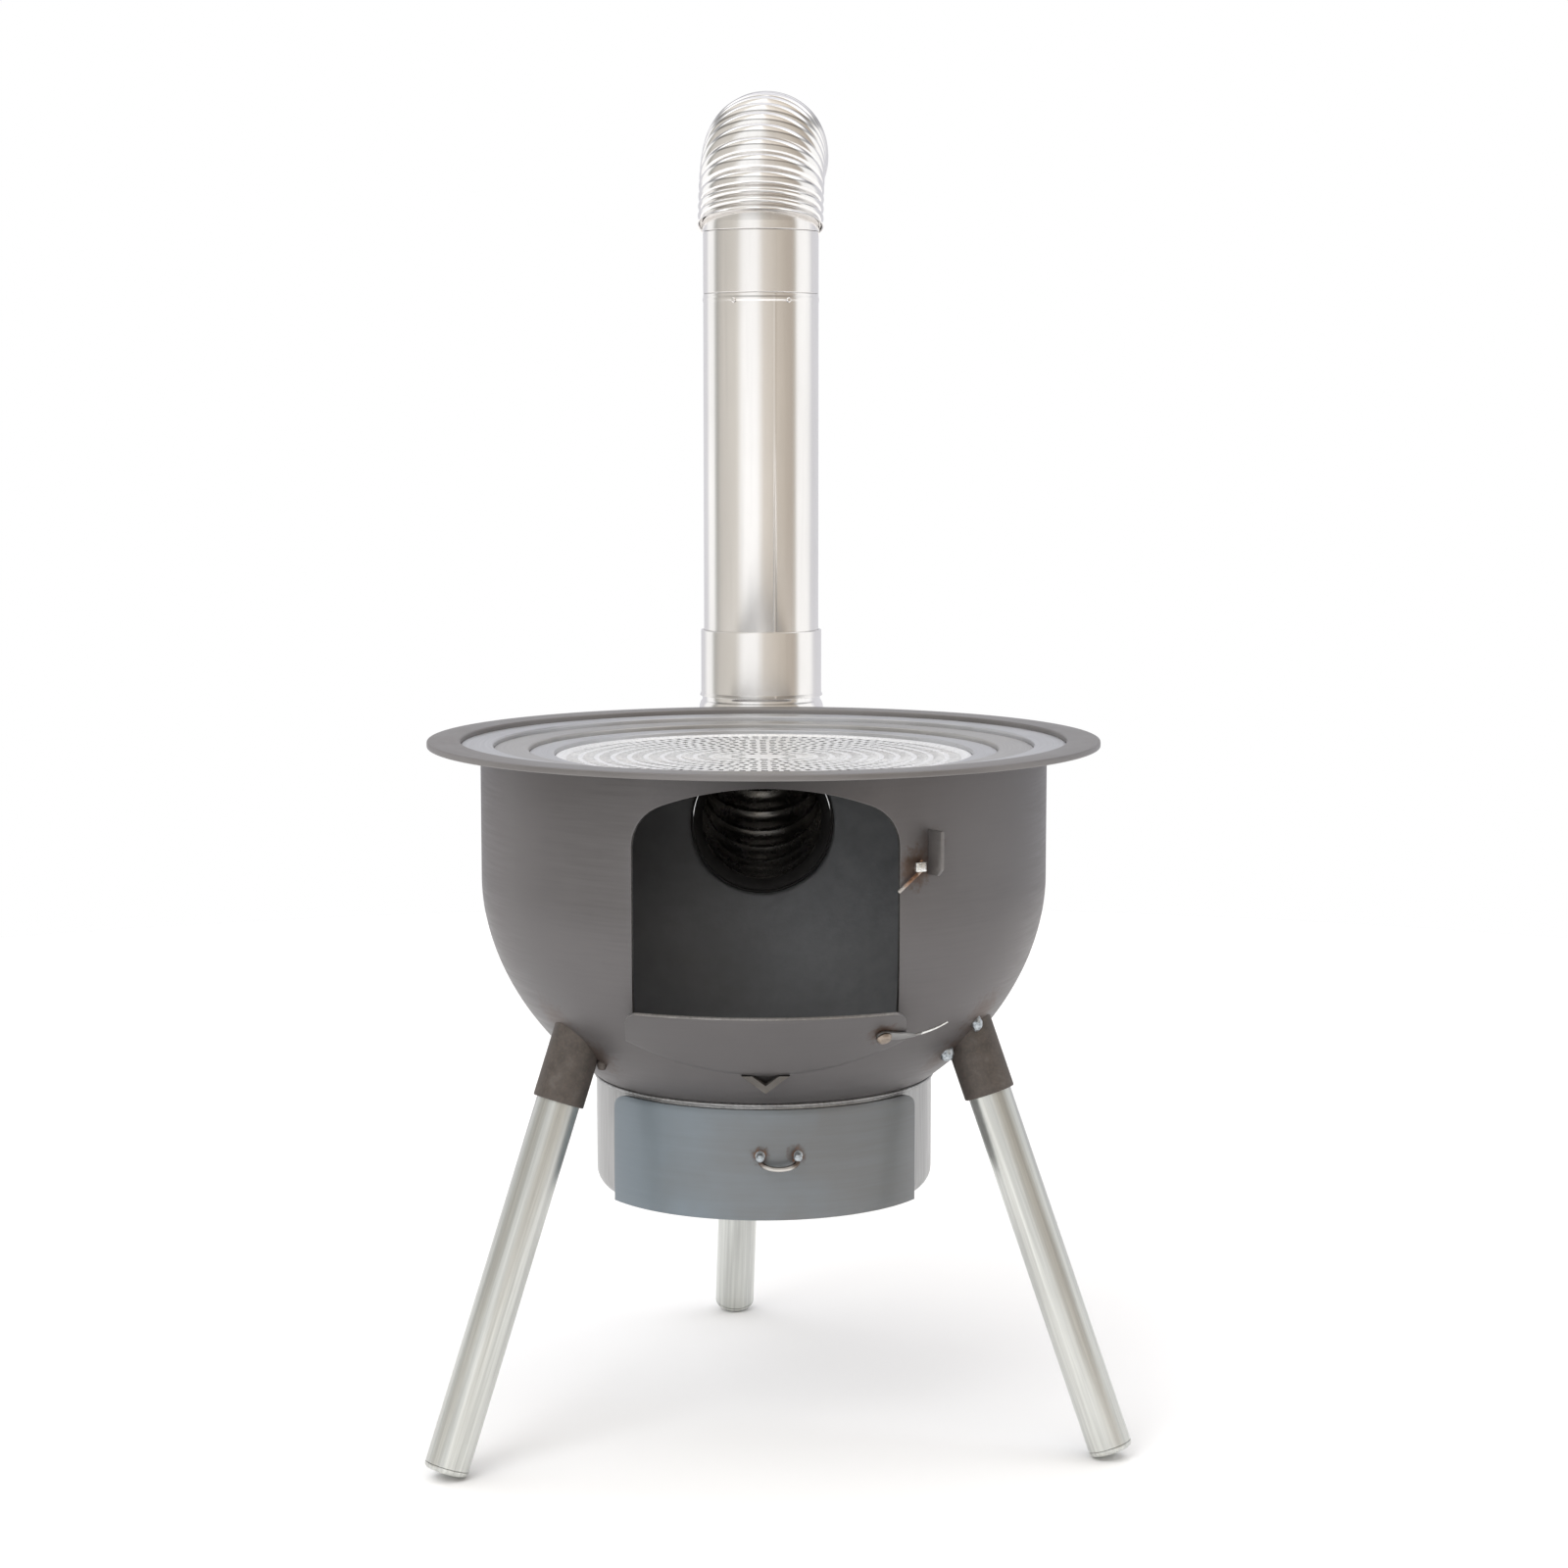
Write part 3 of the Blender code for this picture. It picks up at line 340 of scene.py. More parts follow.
def brushed_steel(name, colour, roughness, stretch, stains=(), metallic=1.0, streak=0.35):
    """Bright sheet or tube with drawn streaks along one direction."""
    finish = Finish(name, colour, metallic, roughness)
    fine = finish.noise(420.0, 4.0, stretch=stretch)
    broad = finish.noise(90.0, 3.0, stretch=stretch)
    clouds = finish.noise(14.0, 4.0)
    tone = finish.mixed(finish.ranged(fine, 0.3, 0.7), shade(colour, 0.80), shade(colour, 1.12))
    tone = finish.mixed(finish.ranged(broad, 0.45, 0.62, 0.0, streak), tone, shade(colour, 0.55))
    tone = finish.mixed(finish.ranged(clouds, 0.45, 0.7, 0.0, 0.25), tone, shade(colour, 0.78))
    for centre, reach, depth, hue in stains:
        stain = finish.math("MULTIPLY", finish.near(centre, reach), depth)
        tone = finish.mixed(stain, tone, hue)
    finish.colour(tone)
    finish.roughness(finish.math("ADD", finish.ranged(broad, 0.3, 0.7, -0.05, 0.08), roughness))
    return finish.bump((fine, 0.12, 0.0002), (broad, 0.06, 0.0004))


def raw_steel(name, colour):
    """Brown mill scale: soft even mottling, fine grain and a few paler rubbed patches."""
    finish = Finish(name, colour, 0.45, 0.6)
    patches = finish.noise(85.0, 5.0, roughness=0.6)
    grain = finish.noise(520.0, 4.0)
    tone = finish.mixed(finish.ranged(patches, 0.35, 0.65), shade(colour, 0.80), shade(colour, 1.22))
    tone = finish.mixed(finish.ranged(grain, 0.45, 0.70, 0.0, 0.35), tone, (0.150, 0.118, 0.098))
    tone = finish.mixed(finish.ranged(patches, 0.58, 0.72, 0.0, 0.35), tone, (0.175, 0.165, 0.155))
    finish.colour(tone)
    finish.roughness(finish.ranged(patches, 0.3, 0.7, 0.48, 0.70))
    return finish.bump((patches, 0.16, 0.0006), (grain, 0.18, 0.0003))


def polished_flue(name, colour, roughness):
    """Bright stainless: long soft draw lines, a few smears and fine scratches."""
    finish = Finish(name, colour, 1.0, roughness)
    lines = finish.noise(260.0, 4.0, stretch=(1.0, 1.0, 0.02))
    smears = finish.noise(11.0, 4.0, stretch=(1.0, 1.0, 0.35))
    tone = finish.mixed(finish.ranged(smears, 0.35, 0.7), colour, shade(colour, 0.88))
    tone = finish.mixed(finish.ranged(lines, 0.5, 0.75, 0.0, 0.25), tone, shade(colour, 0.80))
    finish.colour(tone)
    finish.roughness(finish.math("ADD", finish.ranged(smears, 0.3, 0.7, -0.03, 0.07), roughness))
    return finish.bump((lines, 0.05, 0.0002), (smears, 0.05, 0.0008))


def sooty(name, colour, roughness, metallic=0.2, contrast=1.0, drift=0.0):
    """Soot and burnt-on ash over steel; drift paints shade that deepens towards -X."""
    finish = Finish(name, colour, metallic, roughness)
    flakes = finish.noise(70.0, 6.0, roughness=0.62)
    dust = finish.noise(6.0, 3.0)
    low, high = shade(colour, 1.0 - 0.25 * contrast), shade(colour, 1.0 + 0.35 * contrast)
    tone = finish.mixed(finish.ranged(flakes, 0.35, 0.7), low, high)
    pale = shade(colour, 1.0 + 0.6 * contrast)
    tone = finish.mixed(finish.ranged(dust, 0.5, 0.75, 0.0, 0.4 * contrast), tone, pale)
    # painted shade: the colour darkens towards -X, where the light does not reach inside
    if drift:
        across = finish.node("ShaderNodeSeparateXYZ", [(0, finish.place)]).outputs[0]
        shade_across = finish.math("ADD", across, finish.ranged(dust, 0.3, 0.7, -0.04, 0.04))
        tone = finish.mixed(finish.ranged(shade_across, 0.06, -0.14, 0.0, drift), tone, shade(colour, 0.25))
    finish.colour(tone)
    finish.roughness(finish.ranged(flakes, 0.3, 0.7, roughness - 0.10, roughness + 0.12))
    return finish.bump((flakes, 0.25, 0.0008), (finish.noise(600.0, 3.0), 0.15, 0.0003))


def rusted(name):
    """Wire that has rusted in the heat, with bare bright stretches."""
    finish = Finish(name, (0.33, 0.14, 0.06), 0.45, 0.62)
    patches = finish.noise(260.0, 5.0, roughness=0.6)
    tone = finish.mixed(finish.ranged(patches, 0.38, 0.62), (0.155, 0.080, 0.045), (0.36, 0.205, 0.125))
    bare = finish.ranged(finish.noise(120.0, 2.0), 0.54, 0.64)
    tone = finish.mixed(bare, tone, (0.50, 0.40, 0.33))
    tip = (math.cos(CATCH_AIM) * CATCH_REACH, math.sin(CATCH_AIM) * CATCH_REACH, 0.0)
    tone = finish.mixed(finish.near(tip, 0.0075), tone, (0.46, 0.43, 0.40))
    finish.colour(tone)
    finish.roughness(finish.ranged(patches, 0.3, 0.7, 0.45, 0.75))
    return finish.bump((patches, 0.30, 0.0003))


def weld_metal(name):
    """Frozen weld spatter: bluish bright beads with dark oxide between them."""
    finish = Finish(name, (0.55, 0.58, 0.60), 0.9, 0.32)
    ripples = finish.noise(420.0, 4.0)
    tone = finish.mixed(finish.ranged(ripples, 0.36, 0.60), (0.27, 0.30, 0.32), (0.54, 0.58, 0.61))
    finish.colour(tone)
    finish.roughness(finish.ranged(ripples, 0.3, 0.7, 0.24, 0.5))
    return finish.bump((ripples, 0.25, 0.0004))


BOWL_GREY = (0.122, 0.116, 0.117)


def on_bowl(azimuth, radius, height):
    return (radius * math.cos(azimuth), radius * math.sin(azimuth), height)


BOWL_STAINS = (
    (on_bowl(CATCH_AZIMUTH, BOWL_RADIUS, CATCH_Z - 0.002), 0.016, 0.85),
    (on_bowl(LUG_AZIMUTH, BOWL_RADIUS, CATCH_Z + 0.012), 0.014, 0.40),
    (on_bowl(math.radians(-31.0), 0.185, 0.322), 0.024, 0.65),
    (on_bowl(math.radians(-35.0), 0.160, 0.292), 0.022, 0.60),
    (on_bowl(math.radians(-139.5), 0.165, 0.292), 0.024, 0.60),
    (on_bowl(math.radians(-146.0), 0.185, 0.318), 0.022, 0.45),
    (on_bowl(math.radians(92.0), 0.165, 0.300), 0.030, 0.55),
)
SILL_STAINS = ((on_bowl(LEVER_AZIMUTH, 0.1955, LEVER_Z + 0.002), 0.013, 0.95),)
STUD_Y = -math.sqrt(DRUM_RADIUS ** 2 - HANDLE_X ** 2) - DRAWER_SHEET

# the bowl's painted shadow: a dark patch above the fire opening, standing in for the shade under the rim
bowl_steel = rolled_steel("bowl_steel_rolled", BOWL_GREY, 0.44, BOWL_STAINS,
                          painted_shadow=((on_bowl(-math.pi / 2.0, BOWL_RADIUS, MOUTH_TOP + 0.006), 0.085, 0.9),))
sill_steel = rolled_steel("sill_steel_rolled", BOWL_GREY, 0.42, SILL_STAINS)
rim_steel = rolled_steel("rim_steel_rolled", (0.190, 0.182, 0.179), 0.40)
# lit and shaded copies of one ring steel: the lighter bluish one is a painted reflection, the darker warm
# one its painted shaded copy
ring_lit_copy = turned_steel("ring_steel_painted_lit", (0.440, 0.445, 0.460), 0.35)
ring_shaded_copy = turned_steel("ring_steel_painted_shaded", (0.370, 0.365, 0.360), 0.37)
mesh_steel = brushed_steel("mesh_steel_bright", (0.95, 0.96, 0.97), 0.40, (1.0, 1.0, 1.0), metallic=0.7,
                           streak=0.1)
drum_steel = brushed_steel("drum_steel_satin", (0.39, 0.39, 0.39), 0.38, (1.0, 1.0, 0.04), metallic=0.92,
                           streak=0.12)
leg_steel = brushed_steel("leg_steel_bright", (0.69, 0.70, 0.67), 0.33, (1.0, 1.0, 0.02), streak=0.25)
flue_steel = polished_flue("stainless_polished", (0.90, 0.88, 0.86), 0.17)
bend_steel = polished_flue("stainless_pleated", (0.90, 0.885, 0.87), 0.11)
socket_steel = raw_steel("raw_steel_brown", (0.094, 0.081, 0.072))
bracket_steel = raw_steel("raw_steel_dark", (0.120, 0.114, 0.106))
# drift paints shade on the left of the firebox's inside
fire_soot = sooty("soot_firebox", (0.235, 0.240, 0.250), 0.46, 0.35, contrast=0.30, drift=0.8)
flue_soot = sooty("soot_flue", (0.270, 0.258, 0.240), 0.24, metallic=0.9, contrast=0.25)
grate_iron = sooty("soot_grate", (0.045, 0.043, 0.042), 0.72, metallic=0.5)
# bare cut-edge steel, painted lighter than the sheet so that the edges carry a painted highlight
edge_steel_painted_highlight = brushed_steel("cut_edge_steel", (0.33, 0.32, 0.315), 0.42, (1.0, 1.0, 1.0), streak=0.2)
bolt_steel = brushed_steel("bolt_steel_bright", (0.78, 0.78, 0.76), 0.24, (1.0, 1.0, 1.0), streak=0.2)
lever_steel = brushed_steel("lever_steel_grey", (0.31, 0.305, 0.30), 0.38, (0.05, 1.0, 1.0))
tarnished_steel = brushed_steel("bolt_steel_tarnished", (0.36, 0.30, 0.25), 0.34, (1.0, 1.0, 1.0))
wire_rust = rusted("wire_rusty")
HANDLE_ENDS = tuple(((HANDLE_X + side * HANDLE_HALF, STUD_Y - 0.005, HANDLE_Z - 0.002),
                     0.0105, 0.9, HEAT_BROWN) for side in (-1.0, 1.0))
handle_steel = brushed_steel("handle_steel", (0.60, 0.58, 0.55), 0.30, (0.05, 1.0, 1.0), HANDLE_ENDS)
weld_bead = weld_metal("weld_metal")


def drawer_finish():
    """Blue-grey sheet that turns warmer to the right, with a rusty halo round each stud."""
    blue = (0.190, 0.222, 0.248)
    warm = (0.172, 0.176, 0.178)
    finish = Finish("drawer_steel_blue", blue, 0.62, 0.40)
    across = finish.node("ShaderNodeSeparateXYZ", [(0, finish.place)]).outputs[0]
    clouds = finish.noise(9.0, 4.0)
    drift = finish.math("ADD", across, finish.ranged(clouds, 0.3, 0.7, -0.05, 0.05))
    tone = finish.mixed(finish.ranged(drift, -0.06, 0.04), blue, warm)
    drawn = finish.noise(300.0, 4.0, stretch=(0.05, 0.05, 1.0))
    tone = finish.mixed(finish.ranged(drawn, 0.35, 0.7, 0.0, 0.12), tone, shade(blue, 1.3))
    for side in (-1.0, 1.0):
        stud = (HANDLE_X + side * HANDLE_HALF, STUD_Y, HANDLE_Z)
        tone = finish.mixed(finish.math("MULTIPLY", finish.near(stud, 0.0080), 0.85), tone, HEAT_BROWN)
        tone = finish.mixed(finish.math("MULTIPLY", finish.near(stud, 0.0048), 0.6), tone, RUST)
    finish.colour(tone)
    finish.roughness(finish.math("ADD", finish.ranged(clouds, 0.3, 0.7, -0.05, 0.06), 0.38))
    return finish.bump((drawn, 0.08, 0.0003), (finish.noise(1300.0, 2.0), 0.12, 0.0002))


drawer_steel = drawer_finish()


# ---------------------------------------------------------------- mesh helpers
def linked(name, data):
    """A new object in the scene."""
    made = bpy.data.objects.new(name, data)
    bpy.context.scene.collection.objects.link(made)
    return made


def round_edges(draft, width, limit):
    rounding = draft.modifiers.new("edge", "BEVEL")
    rounding.width = width
    rounding.segments = 2
    rounding.limit_method = "ANGLE"
    rounding.angle_limit = math.radians(limit)
    rounding.harden_normals = False


def finished(draft):
    """The mesh of a draft object with its modifiers applied."""
    bpy.context.view_layer.update()
    return bpy.data.meshes.new_from_object(draft.evaluated_get(bpy.context.evaluated_depsgraph_get()))


def face_up(bm):
    """Turns the faces of a flat skin so that they look along local Z."""
    bmesh.ops.recalc_face_normals(bm, faces=bm.faces)
    if sum(face.normal.z for face in bm.faces) < 0.0:
        bmesh.ops.reverse_faces(bm, faces=bm.faces)


def mesh_from_grid(name, rows, wrap=False, loop=False, skip=None, recalc=False):
    """A mesh from rows of points. wrap joins the last column to the first, loop the last row.

    Seen from outside, columns run to the right and rows run up, so that faces point outwards.
    """
    bm = bmesh.new()
    grid = [[bm.verts.new(point) for point in row] for row in rows]
    height, width = len(grid), len(grid[0])
    for j in range(height if loop else height - 1):
        upper = (j + 1) % height
        for i in range(width if wrap else width - 1):
            right = (i + 1) % width
            if skip and skip(j, i):
                continue
            bm.faces.new((grid[j][i], grid[j][right], grid[upper][right], grid[upper][i]))
    loose = [vert for vert in bm.verts if not vert.link_faces]
    bmesh.ops.delete(bm, geom=loose, context="VERTS")
    bmesh.ops.remove_doubles(bm, verts=bm.verts, dist=0.000002)
    if recalc:
        bmesh.ops.recalc_face_normals(bm, faces=bm.faces)
    return mesh_from(bm, name)


def mesh_from(bm, name):
    mesh = bpy.data.meshes.new(name)
    bm.to_mesh(mesh)
    bm.free()
    return mesh


def round_steps(count, start=-math.pi / 2.0):
    return [start + 2.0 * math.pi * i / count for i in range(count)]


def turned_mesh(name, profile, angles, closed=True):
    """Turns a profile of (radius, height) points round the local Z axis."""
    rows = [[(r * math.cos(a), r * math.sin(a), z) for a in angles] for r, z in profile]
    return mesh_from_grid(name, rows, wrap=True, loop=closed, recalc=True)


def softened(points, radii, steps=4, closed=True):
    """Rounds the corners of an outline, each by its own radius."""
    count = len(points)
    result = []
    for i, (point, radius) in enumerate(zip(points, radii)):
        ends = (not closed) and i in (0, count - 1)
        if radius <= 0.0 or ends:
            result.append(tuple(point))
            continue
        here = Vector(point)
        to_last = Vector(points[i - 1]) - here
        to_next = Vector(points[(i + 1) % count]) - here
        corner = to_last.angle(to_next)
        reach = radius / math.tan(corner / 2.0)
        reach = min(reach, to_last.length * 0.48, to_next.length * 0.48)
        start = here + to_last.normalized() * reach
        end = here + to_next.normalized() * reach
        for k in range(steps + 1):
            t = k / steps
            spot = start * (1.0 - t) ** 2 + here * 2.0 * t * (1.0 - t) + end * t ** 2
            result.append(tuple(spot))
    return result


def add_piece(name, mesh, body, nodes, materials, place=None, sharp=40.0):
    """Puts a finished mesh in the scene, riding on a CAD body and standing for CAD nodes."""
    for i, material in enumerate(materials):
        if i < len(mesh.materials):
            mesh.materials[i] = material
        else:
            mesh.materials.append(material)
    mesh.shade_smooth()
    mesh.set_sharp_from_angle(angle=math.radians(sharp))
    piece = linked(name, mesh)
    piece.matrix_world = Matrix.Translation(AXIS) @ (place or Matrix.Identity(4))
    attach(piece, body)
    if nodes:
        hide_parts(*nodes)
    return piece


def turned_piece(name, outline, radii, owner, material, place=None, steps=TUBE_ROUND, closed=True):
    """A piece turned from an outline with rounded corners; owner is its body and its CAD node."""
    profile = softened(outline, radii, closed=closed)
    mesh = turned_mesh(name, profile, round_steps(steps), closed)
    add_piece(name, mesh, owner[0], [owner[1]], [material], place)


def settled(mesh, thickness, edge, inside=0, cut=0, limit=50.0):
    """Gives a sheet its thickness and rounds its edges; returns a new mesh.

    inside and cut are the offsets of the materials for the inner side and for the cut edges.
    """
    draft = linked("draft", mesh)
    shell = draft.modifiers.new("sheet", "SOLIDIFY")
    shell.thickness = thickness
    shell.offset = -1.0
    shell.use_even_offset = True
    shell.material_offset = inside
    shell.material_offset_rim = cut
    for _ in range(max(inside, cut) + 1 if inside or cut else 0):
        mesh.materials.append(bowl_steel)
    round_edges(draft, edge, limit)
    result = finished(draft)
    bpy.data.objects.remove(draft, do_unlink=True)
    return result


def smooth_path(points, steps=8):
    """A smooth run of points through the given ones."""
    places = [Vector(point) for point in points]
    ghost = [places[0] * 2.0 - places[1]] + places + [places[-1] * 2.0 - places[-2]]
    path = []
    for a, b, c, d in zip(ghost, ghost[1:], ghost[2:], ghost[3:]):
        for k in range(steps):
            t = k / steps
            path.append(0.5 * (2.0 * b + (c - a) * t + (2.0 * a - 5.0 * b + 4.0 * c - d) * t ** 2
                               + (3.0 * b - a - 3.0 * c + d) * t ** 3))
    path.append(places[-1])
    return path


def wire_mesh(name, points, radii, around=16):
    """A round wire along a path; radii is one number or one for each point. Its ends are domed."""
    if not isinstance(radii, (list, tuple)):
        radii = [radii] * len(points)
    rows = []
    side = None
    for i, point in enumerate(points):
        ahead = points[min(i + 1, len(points) - 1)] - points[max(i - 1, 0)]
        ahead.normalize()
        if side is None:
            side = ahead.orthogonal().normalized()
        side = (side - ahead * side.dot(ahead)).normalized()
        other = ahead.cross(side)
        ring = []
        for k in range(around):
            angle = 2.0 * math.pi * k / around
            ring.append((side * math.cos(angle) + other * math.sin(angle)) * radii[i])
        rows.append((point, ahead, ring))
    full = []
    point, ahead, ring = rows[0]
    for angle in (90.0, 60.0, 30.0):
        a = math.radians(angle)
        back = ahead * -radii[0] * math.sin(a) * 0.6
        full.append([point + back + spoke * math.cos(a) for spoke in ring])
    full += [[point + spoke for spoke in ring] for point, ahead, ring in rows]
    point, ahead, ring = rows[-1]
    for angle in (30.0, 60.0, 90.0):
        a = math.radians(angle)
        tip = ahead * radii[-1] * math.sin(a) * 0.6
        full.append([point + tip + spoke * math.cos(a) for spoke in ring])
    return mesh_from_grid(name, full, wrap=True, recalc=True)


def turn_frame(azimuth, outward, height, tilt=0.0):
    """A frame on the stove's surface: local Z points outwards, local X along the surface."""
    place = Matrix.Translation((outward * math.cos(azimuth), outward * math.sin(azimuth), height))
    facing = Matrix.Rotation(azimuth, 4, "Z") @ Matrix.Rotation(math.pi / 2 + tilt, 4, "Y")
    return place @ facing @ Matrix.Rotation(math.pi / 2, 4, "Z")


def dome_radius(height):
    """Outer radius of the bowl at a height."""
    if height >= BOWL_SHOULDER:
        return BOWL_RADIUS
    drop = min(1.0, ((BOWL_SHOULDER - height) / BOWL_DEPTH) ** BOWL_POWER)
    return BOWL_RADIUS * (1.0 - drop) ** (1.0 / BOWL_POWER)


def span(start, end, steps):
    """Evenly spaced values from start to end, both included."""
    return [start + (end - start) * i / steps for i in range(steps + 1)]


# ---------------------------------------------------------------- bowl
def mouth_columns():
    """X of each column across the fire opening, closer together round its corners."""
    reach = math.asin((MOUTH_HALF - MOUTH_CORNER) / (MOUTH_ARCH - MOUTH_CORNER))
    side = MOUTH_HALF - MOUTH_CORNER
    corner = [side + MOUTH_CORNER * math.cos(a) for a in span(0.0, math.pi / 2.0 - reach, 9)]
    arch = span(-corner[-1], corner[-1], 20)[1:-1]
    return [-x for x in corner] + arch + corner[::-1]


def mouth_top(x):
    """Height of the opening's edge above x."""
    side = MOUTH_HALF - MOUTH_CORNER
    reach = math.asin(side / (MOUTH_ARCH - MOUTH_CORNER))
    arch_centre = MOUTH_TOP - MOUTH_ARCH
    corner_centre = arch_centre + (MOUTH_ARCH - MOUTH_CORNER) * math.cos(reach)
    if abs(x) <= side + MOUTH_CORNER * math.sin(reach):
        return arch_centre + math.sqrt(MOUTH_ARCH ** 2 - x ** 2)
    return corner_centre + math.sqrt(max(0.0, MOUTH_CORNER ** 2 - (abs(x) - side) ** 2))


def bowl_rows():
    """Rows of points up the bowl, with the columns gathered round the fire opening."""
    columns = mouth_columns()
    top = RIM_SEAT - GAP
    corner_z = mouth_top(MOUTH_HALF)
    around = 160
    start = math.acos((BOWL_THROAT / BOWL_RADIUS) ** (BOWL_POWER / 2.0))
    end = math.asin(((BOWL_SHOULDER - MOUTH_BOTTOM) / BOWL_DEPTH) ** (BOWL_POWER / 2.0))
    heights = [BOWL_SHOULDER - BOWL_DEPTH * math.sin(a) ** (2.0 / BOWL_POWER)
               for a in span(start, end, 26)]
    first_side = len(heights) - 1
    heights += span(MOUTH_BOTTOM, corner_z, 34)[1:]
    first_high = len(heights) - 1
    heights += span(corner_z, top, 14)[1:]
    rows = []
    for j, z in enumerate(heights):
        radius = dome_radius(z)
        mouth_radius = dome_radius(max(z, MOUTH_BOTTOM))
        row = []
        for x in columns:
            angle = math.asin(x / mouth_radius)
            height = z
            if j > first_high:
                share = (z - corner_z) / (top - corner_z)
                height = mouth_top(x) + share * (top - mouth_top(x))
            elif j == first_high:
                height = mouth_top(x)
            row.append((radius * math.sin(angle), -radius * math.cos(angle), height))
        half = math.asin(MOUTH_HALF / mouth_radius)
        for m in range(1, around):
            angle = half + (2.0 * math.pi - 2.0 * half) * m / around
            row.append((radius * math.sin(angle), -radius * math.cos(angle), z))
        rows.append(row)
    return rows, heights, first_side, first_high, len(columns), around


def make_bowl():
    rows, heights, first_side, first_high, mouth_width, around = bowl_rows()
    centre_row = min(range(len(heights)), key=lambda j: abs(heights[j] - INLET_Z))
    centre_column = mouth_width - 1 + around // 2
    hole_rows, hole_columns, fade = 17, 8, 1.35
    hole = INLET_RADIUS + GAP

    def block(j, i):
        """How far a grid point is from the hole's middle: 1 on the hole's edge."""
        return (i - centre_column) / hole_columns, (j - centre_row) / hole_rows

    for j, row in enumerate(rows):
        for i, (x, y, z) in enumerate(row):
            across, up = block(j, i)
            reach = max(abs(across), abs(up))
            if reach < 1.0 or reach >= fade:
                continue
            angle = math.atan2(up, across)
            share = (reach - 1.0) / (fade - 1.0)
            new_x = -hole * math.cos(angle) * (1.0 - share) + x * share
            new_z = (INLET_Z + hole * math.sin(angle)) * (1.0 - share) + z * share
            row[i] = (new_x, math.sqrt(dome_radius(new_z) ** 2 - new_x ** 2), new_z)

    def opening(j, i):
        across, up = block(j, i)
        in_hole = -1.0 <= across < 1.0 and -1.0 <= up < 1.0
        in_mouth = first_side <= j < first_high and i < mouth_width - 1
        return in_hole or in_mouth

    skin = mesh_from_grid("bowl_skin", rows, wrap=True, skip=opening)
    shell = settled(skin, SHEET, edge=0.0006, inside=1, cut=2)
    add_piece("bowl_shell", shell, "stove", ["firebox_bowl"],
              [bowl_steel, fire_soot, edge_steel_painted_highlight], sharp=55.0)


# ---------------------------------------------------------------- sill
def make_sill():
    """A conical sheet below the opening, a crescent with rounded upper corners."""
    rise = SILL_END_BOTTOM - SILL_MIDDLE_BOTTOM
    bend = (SILL_HALF ** 2 + rise ** 2) / (2.0 * rise)
    flat = SILL_HALF - SILL_CORNER
    corner = [flat + SILL_CORNER * math.sin(a) for a in span(0.0, math.pi / 2.0, 8)]
    columns = [-x for x in corner[::-1]] + span(-flat, flat, 44)[1:-1] + corner
    rows = []
    for share in span(0.0, 1.0, 14):
        row = []
        for x in columns:
            low = SILL_MIDDLE_BOTTOM + bend - math.sqrt(bend ** 2 - x ** 2)
            over = max(0.0, abs(x) - flat)
            high = SILL_TOP - SILL_CORNER + math.sqrt(max(0.0, SILL_CORNER ** 2 - over ** 2))
            z = low + (high - low) * share
            radius = SILL_TOP_RADIUS - SILL_SLOPE * (SILL_TOP - z)
            row.append((x, -math.sqrt(radius ** 2 - x ** 2), z))
        rows.append(row)
    sheet = settled(mesh_from_grid("sill_skin", rows), SILL_SHEET, edge=0.0007, cut=1)
    add_piece("sill_sheet", sheet, "stove", ["sill_plate"], [sill_steel, edge_steel_painted_highlight])


# ---------------------------------------------------------------- rings and grill
def ring_profile(outer, step, top, crown, lip=0.0):
    """A ring's section: a slightly crowned top, a soft step at its inner edge and a ledge."""
    under = top - RING_SHEET
    ledge = top - RING_RISER
    inner = step - LEDGE_WIDTH
    bend = step + RING_SHEET
    middle_radius = (outer + step) / 2.0
    half = (outer - step) / 2.0
    shoulders = span(outer, step, 8)[1:-1]
    top_points = [(r, top - crown * ((r - middle_radius) / half) ** 2) for r in shoulders]
    edge = (outer, top - crown)
    if lip:
        points = [edge, (outer, top - lip), (outer - RING_SHEET, top - lip), (outer - RING_SHEET, under)]
        radii = [0.0026, 0.0009, 0.0006, 0.0012]
    else:
        points = [edge, (outer, under)]
        radii = [0.0013, 0.0005]
    points += [(bend, under), (bend, ledge - RING_SHEET), (inner, ledge - RING_SHEET), (inner, ledge)]
    radii += [0.0010, 0.0016, 0.0006, 0.0006]
    points += [(step, ledge), (step, top - crown)]
    radii += [0.0008, 0.0026]
    points += top_points[::-1]
    radii += [0.0] * len(top_points)
    return softened(points, radii)


def make_rings():
    angles = round_steps(ROUND)
    rim = turned_mesh("rim", ring_profile(RIM_RADIUS, STEP_RADII[0], RIM_TOP, 0.0003, RIM_LIP), angles)
    add_piece("rim_flange", rim, "stove", ["top_rim"], [rim_steel])
    # outer and inner rings take the painted lit copy, the middle ring the painted shaded copy
    rings = (("outer_ring", ring_lit_copy), ("middle_ring", ring_shaded_copy), ("inner_ring", ring_lit_copy))
    for i, (node, material) in enumerate(rings):
        top = RIM_TOP - RING_DROP * (i + 1)
        profile = ring_profile(STEP_RADII[i] - GAP, STEP_RADII[i + 1], top, 0.0008)
        ring = turned_mesh(node, profile, angles)
        add_piece(f"{node}_turned", ring, node, [node], [material])


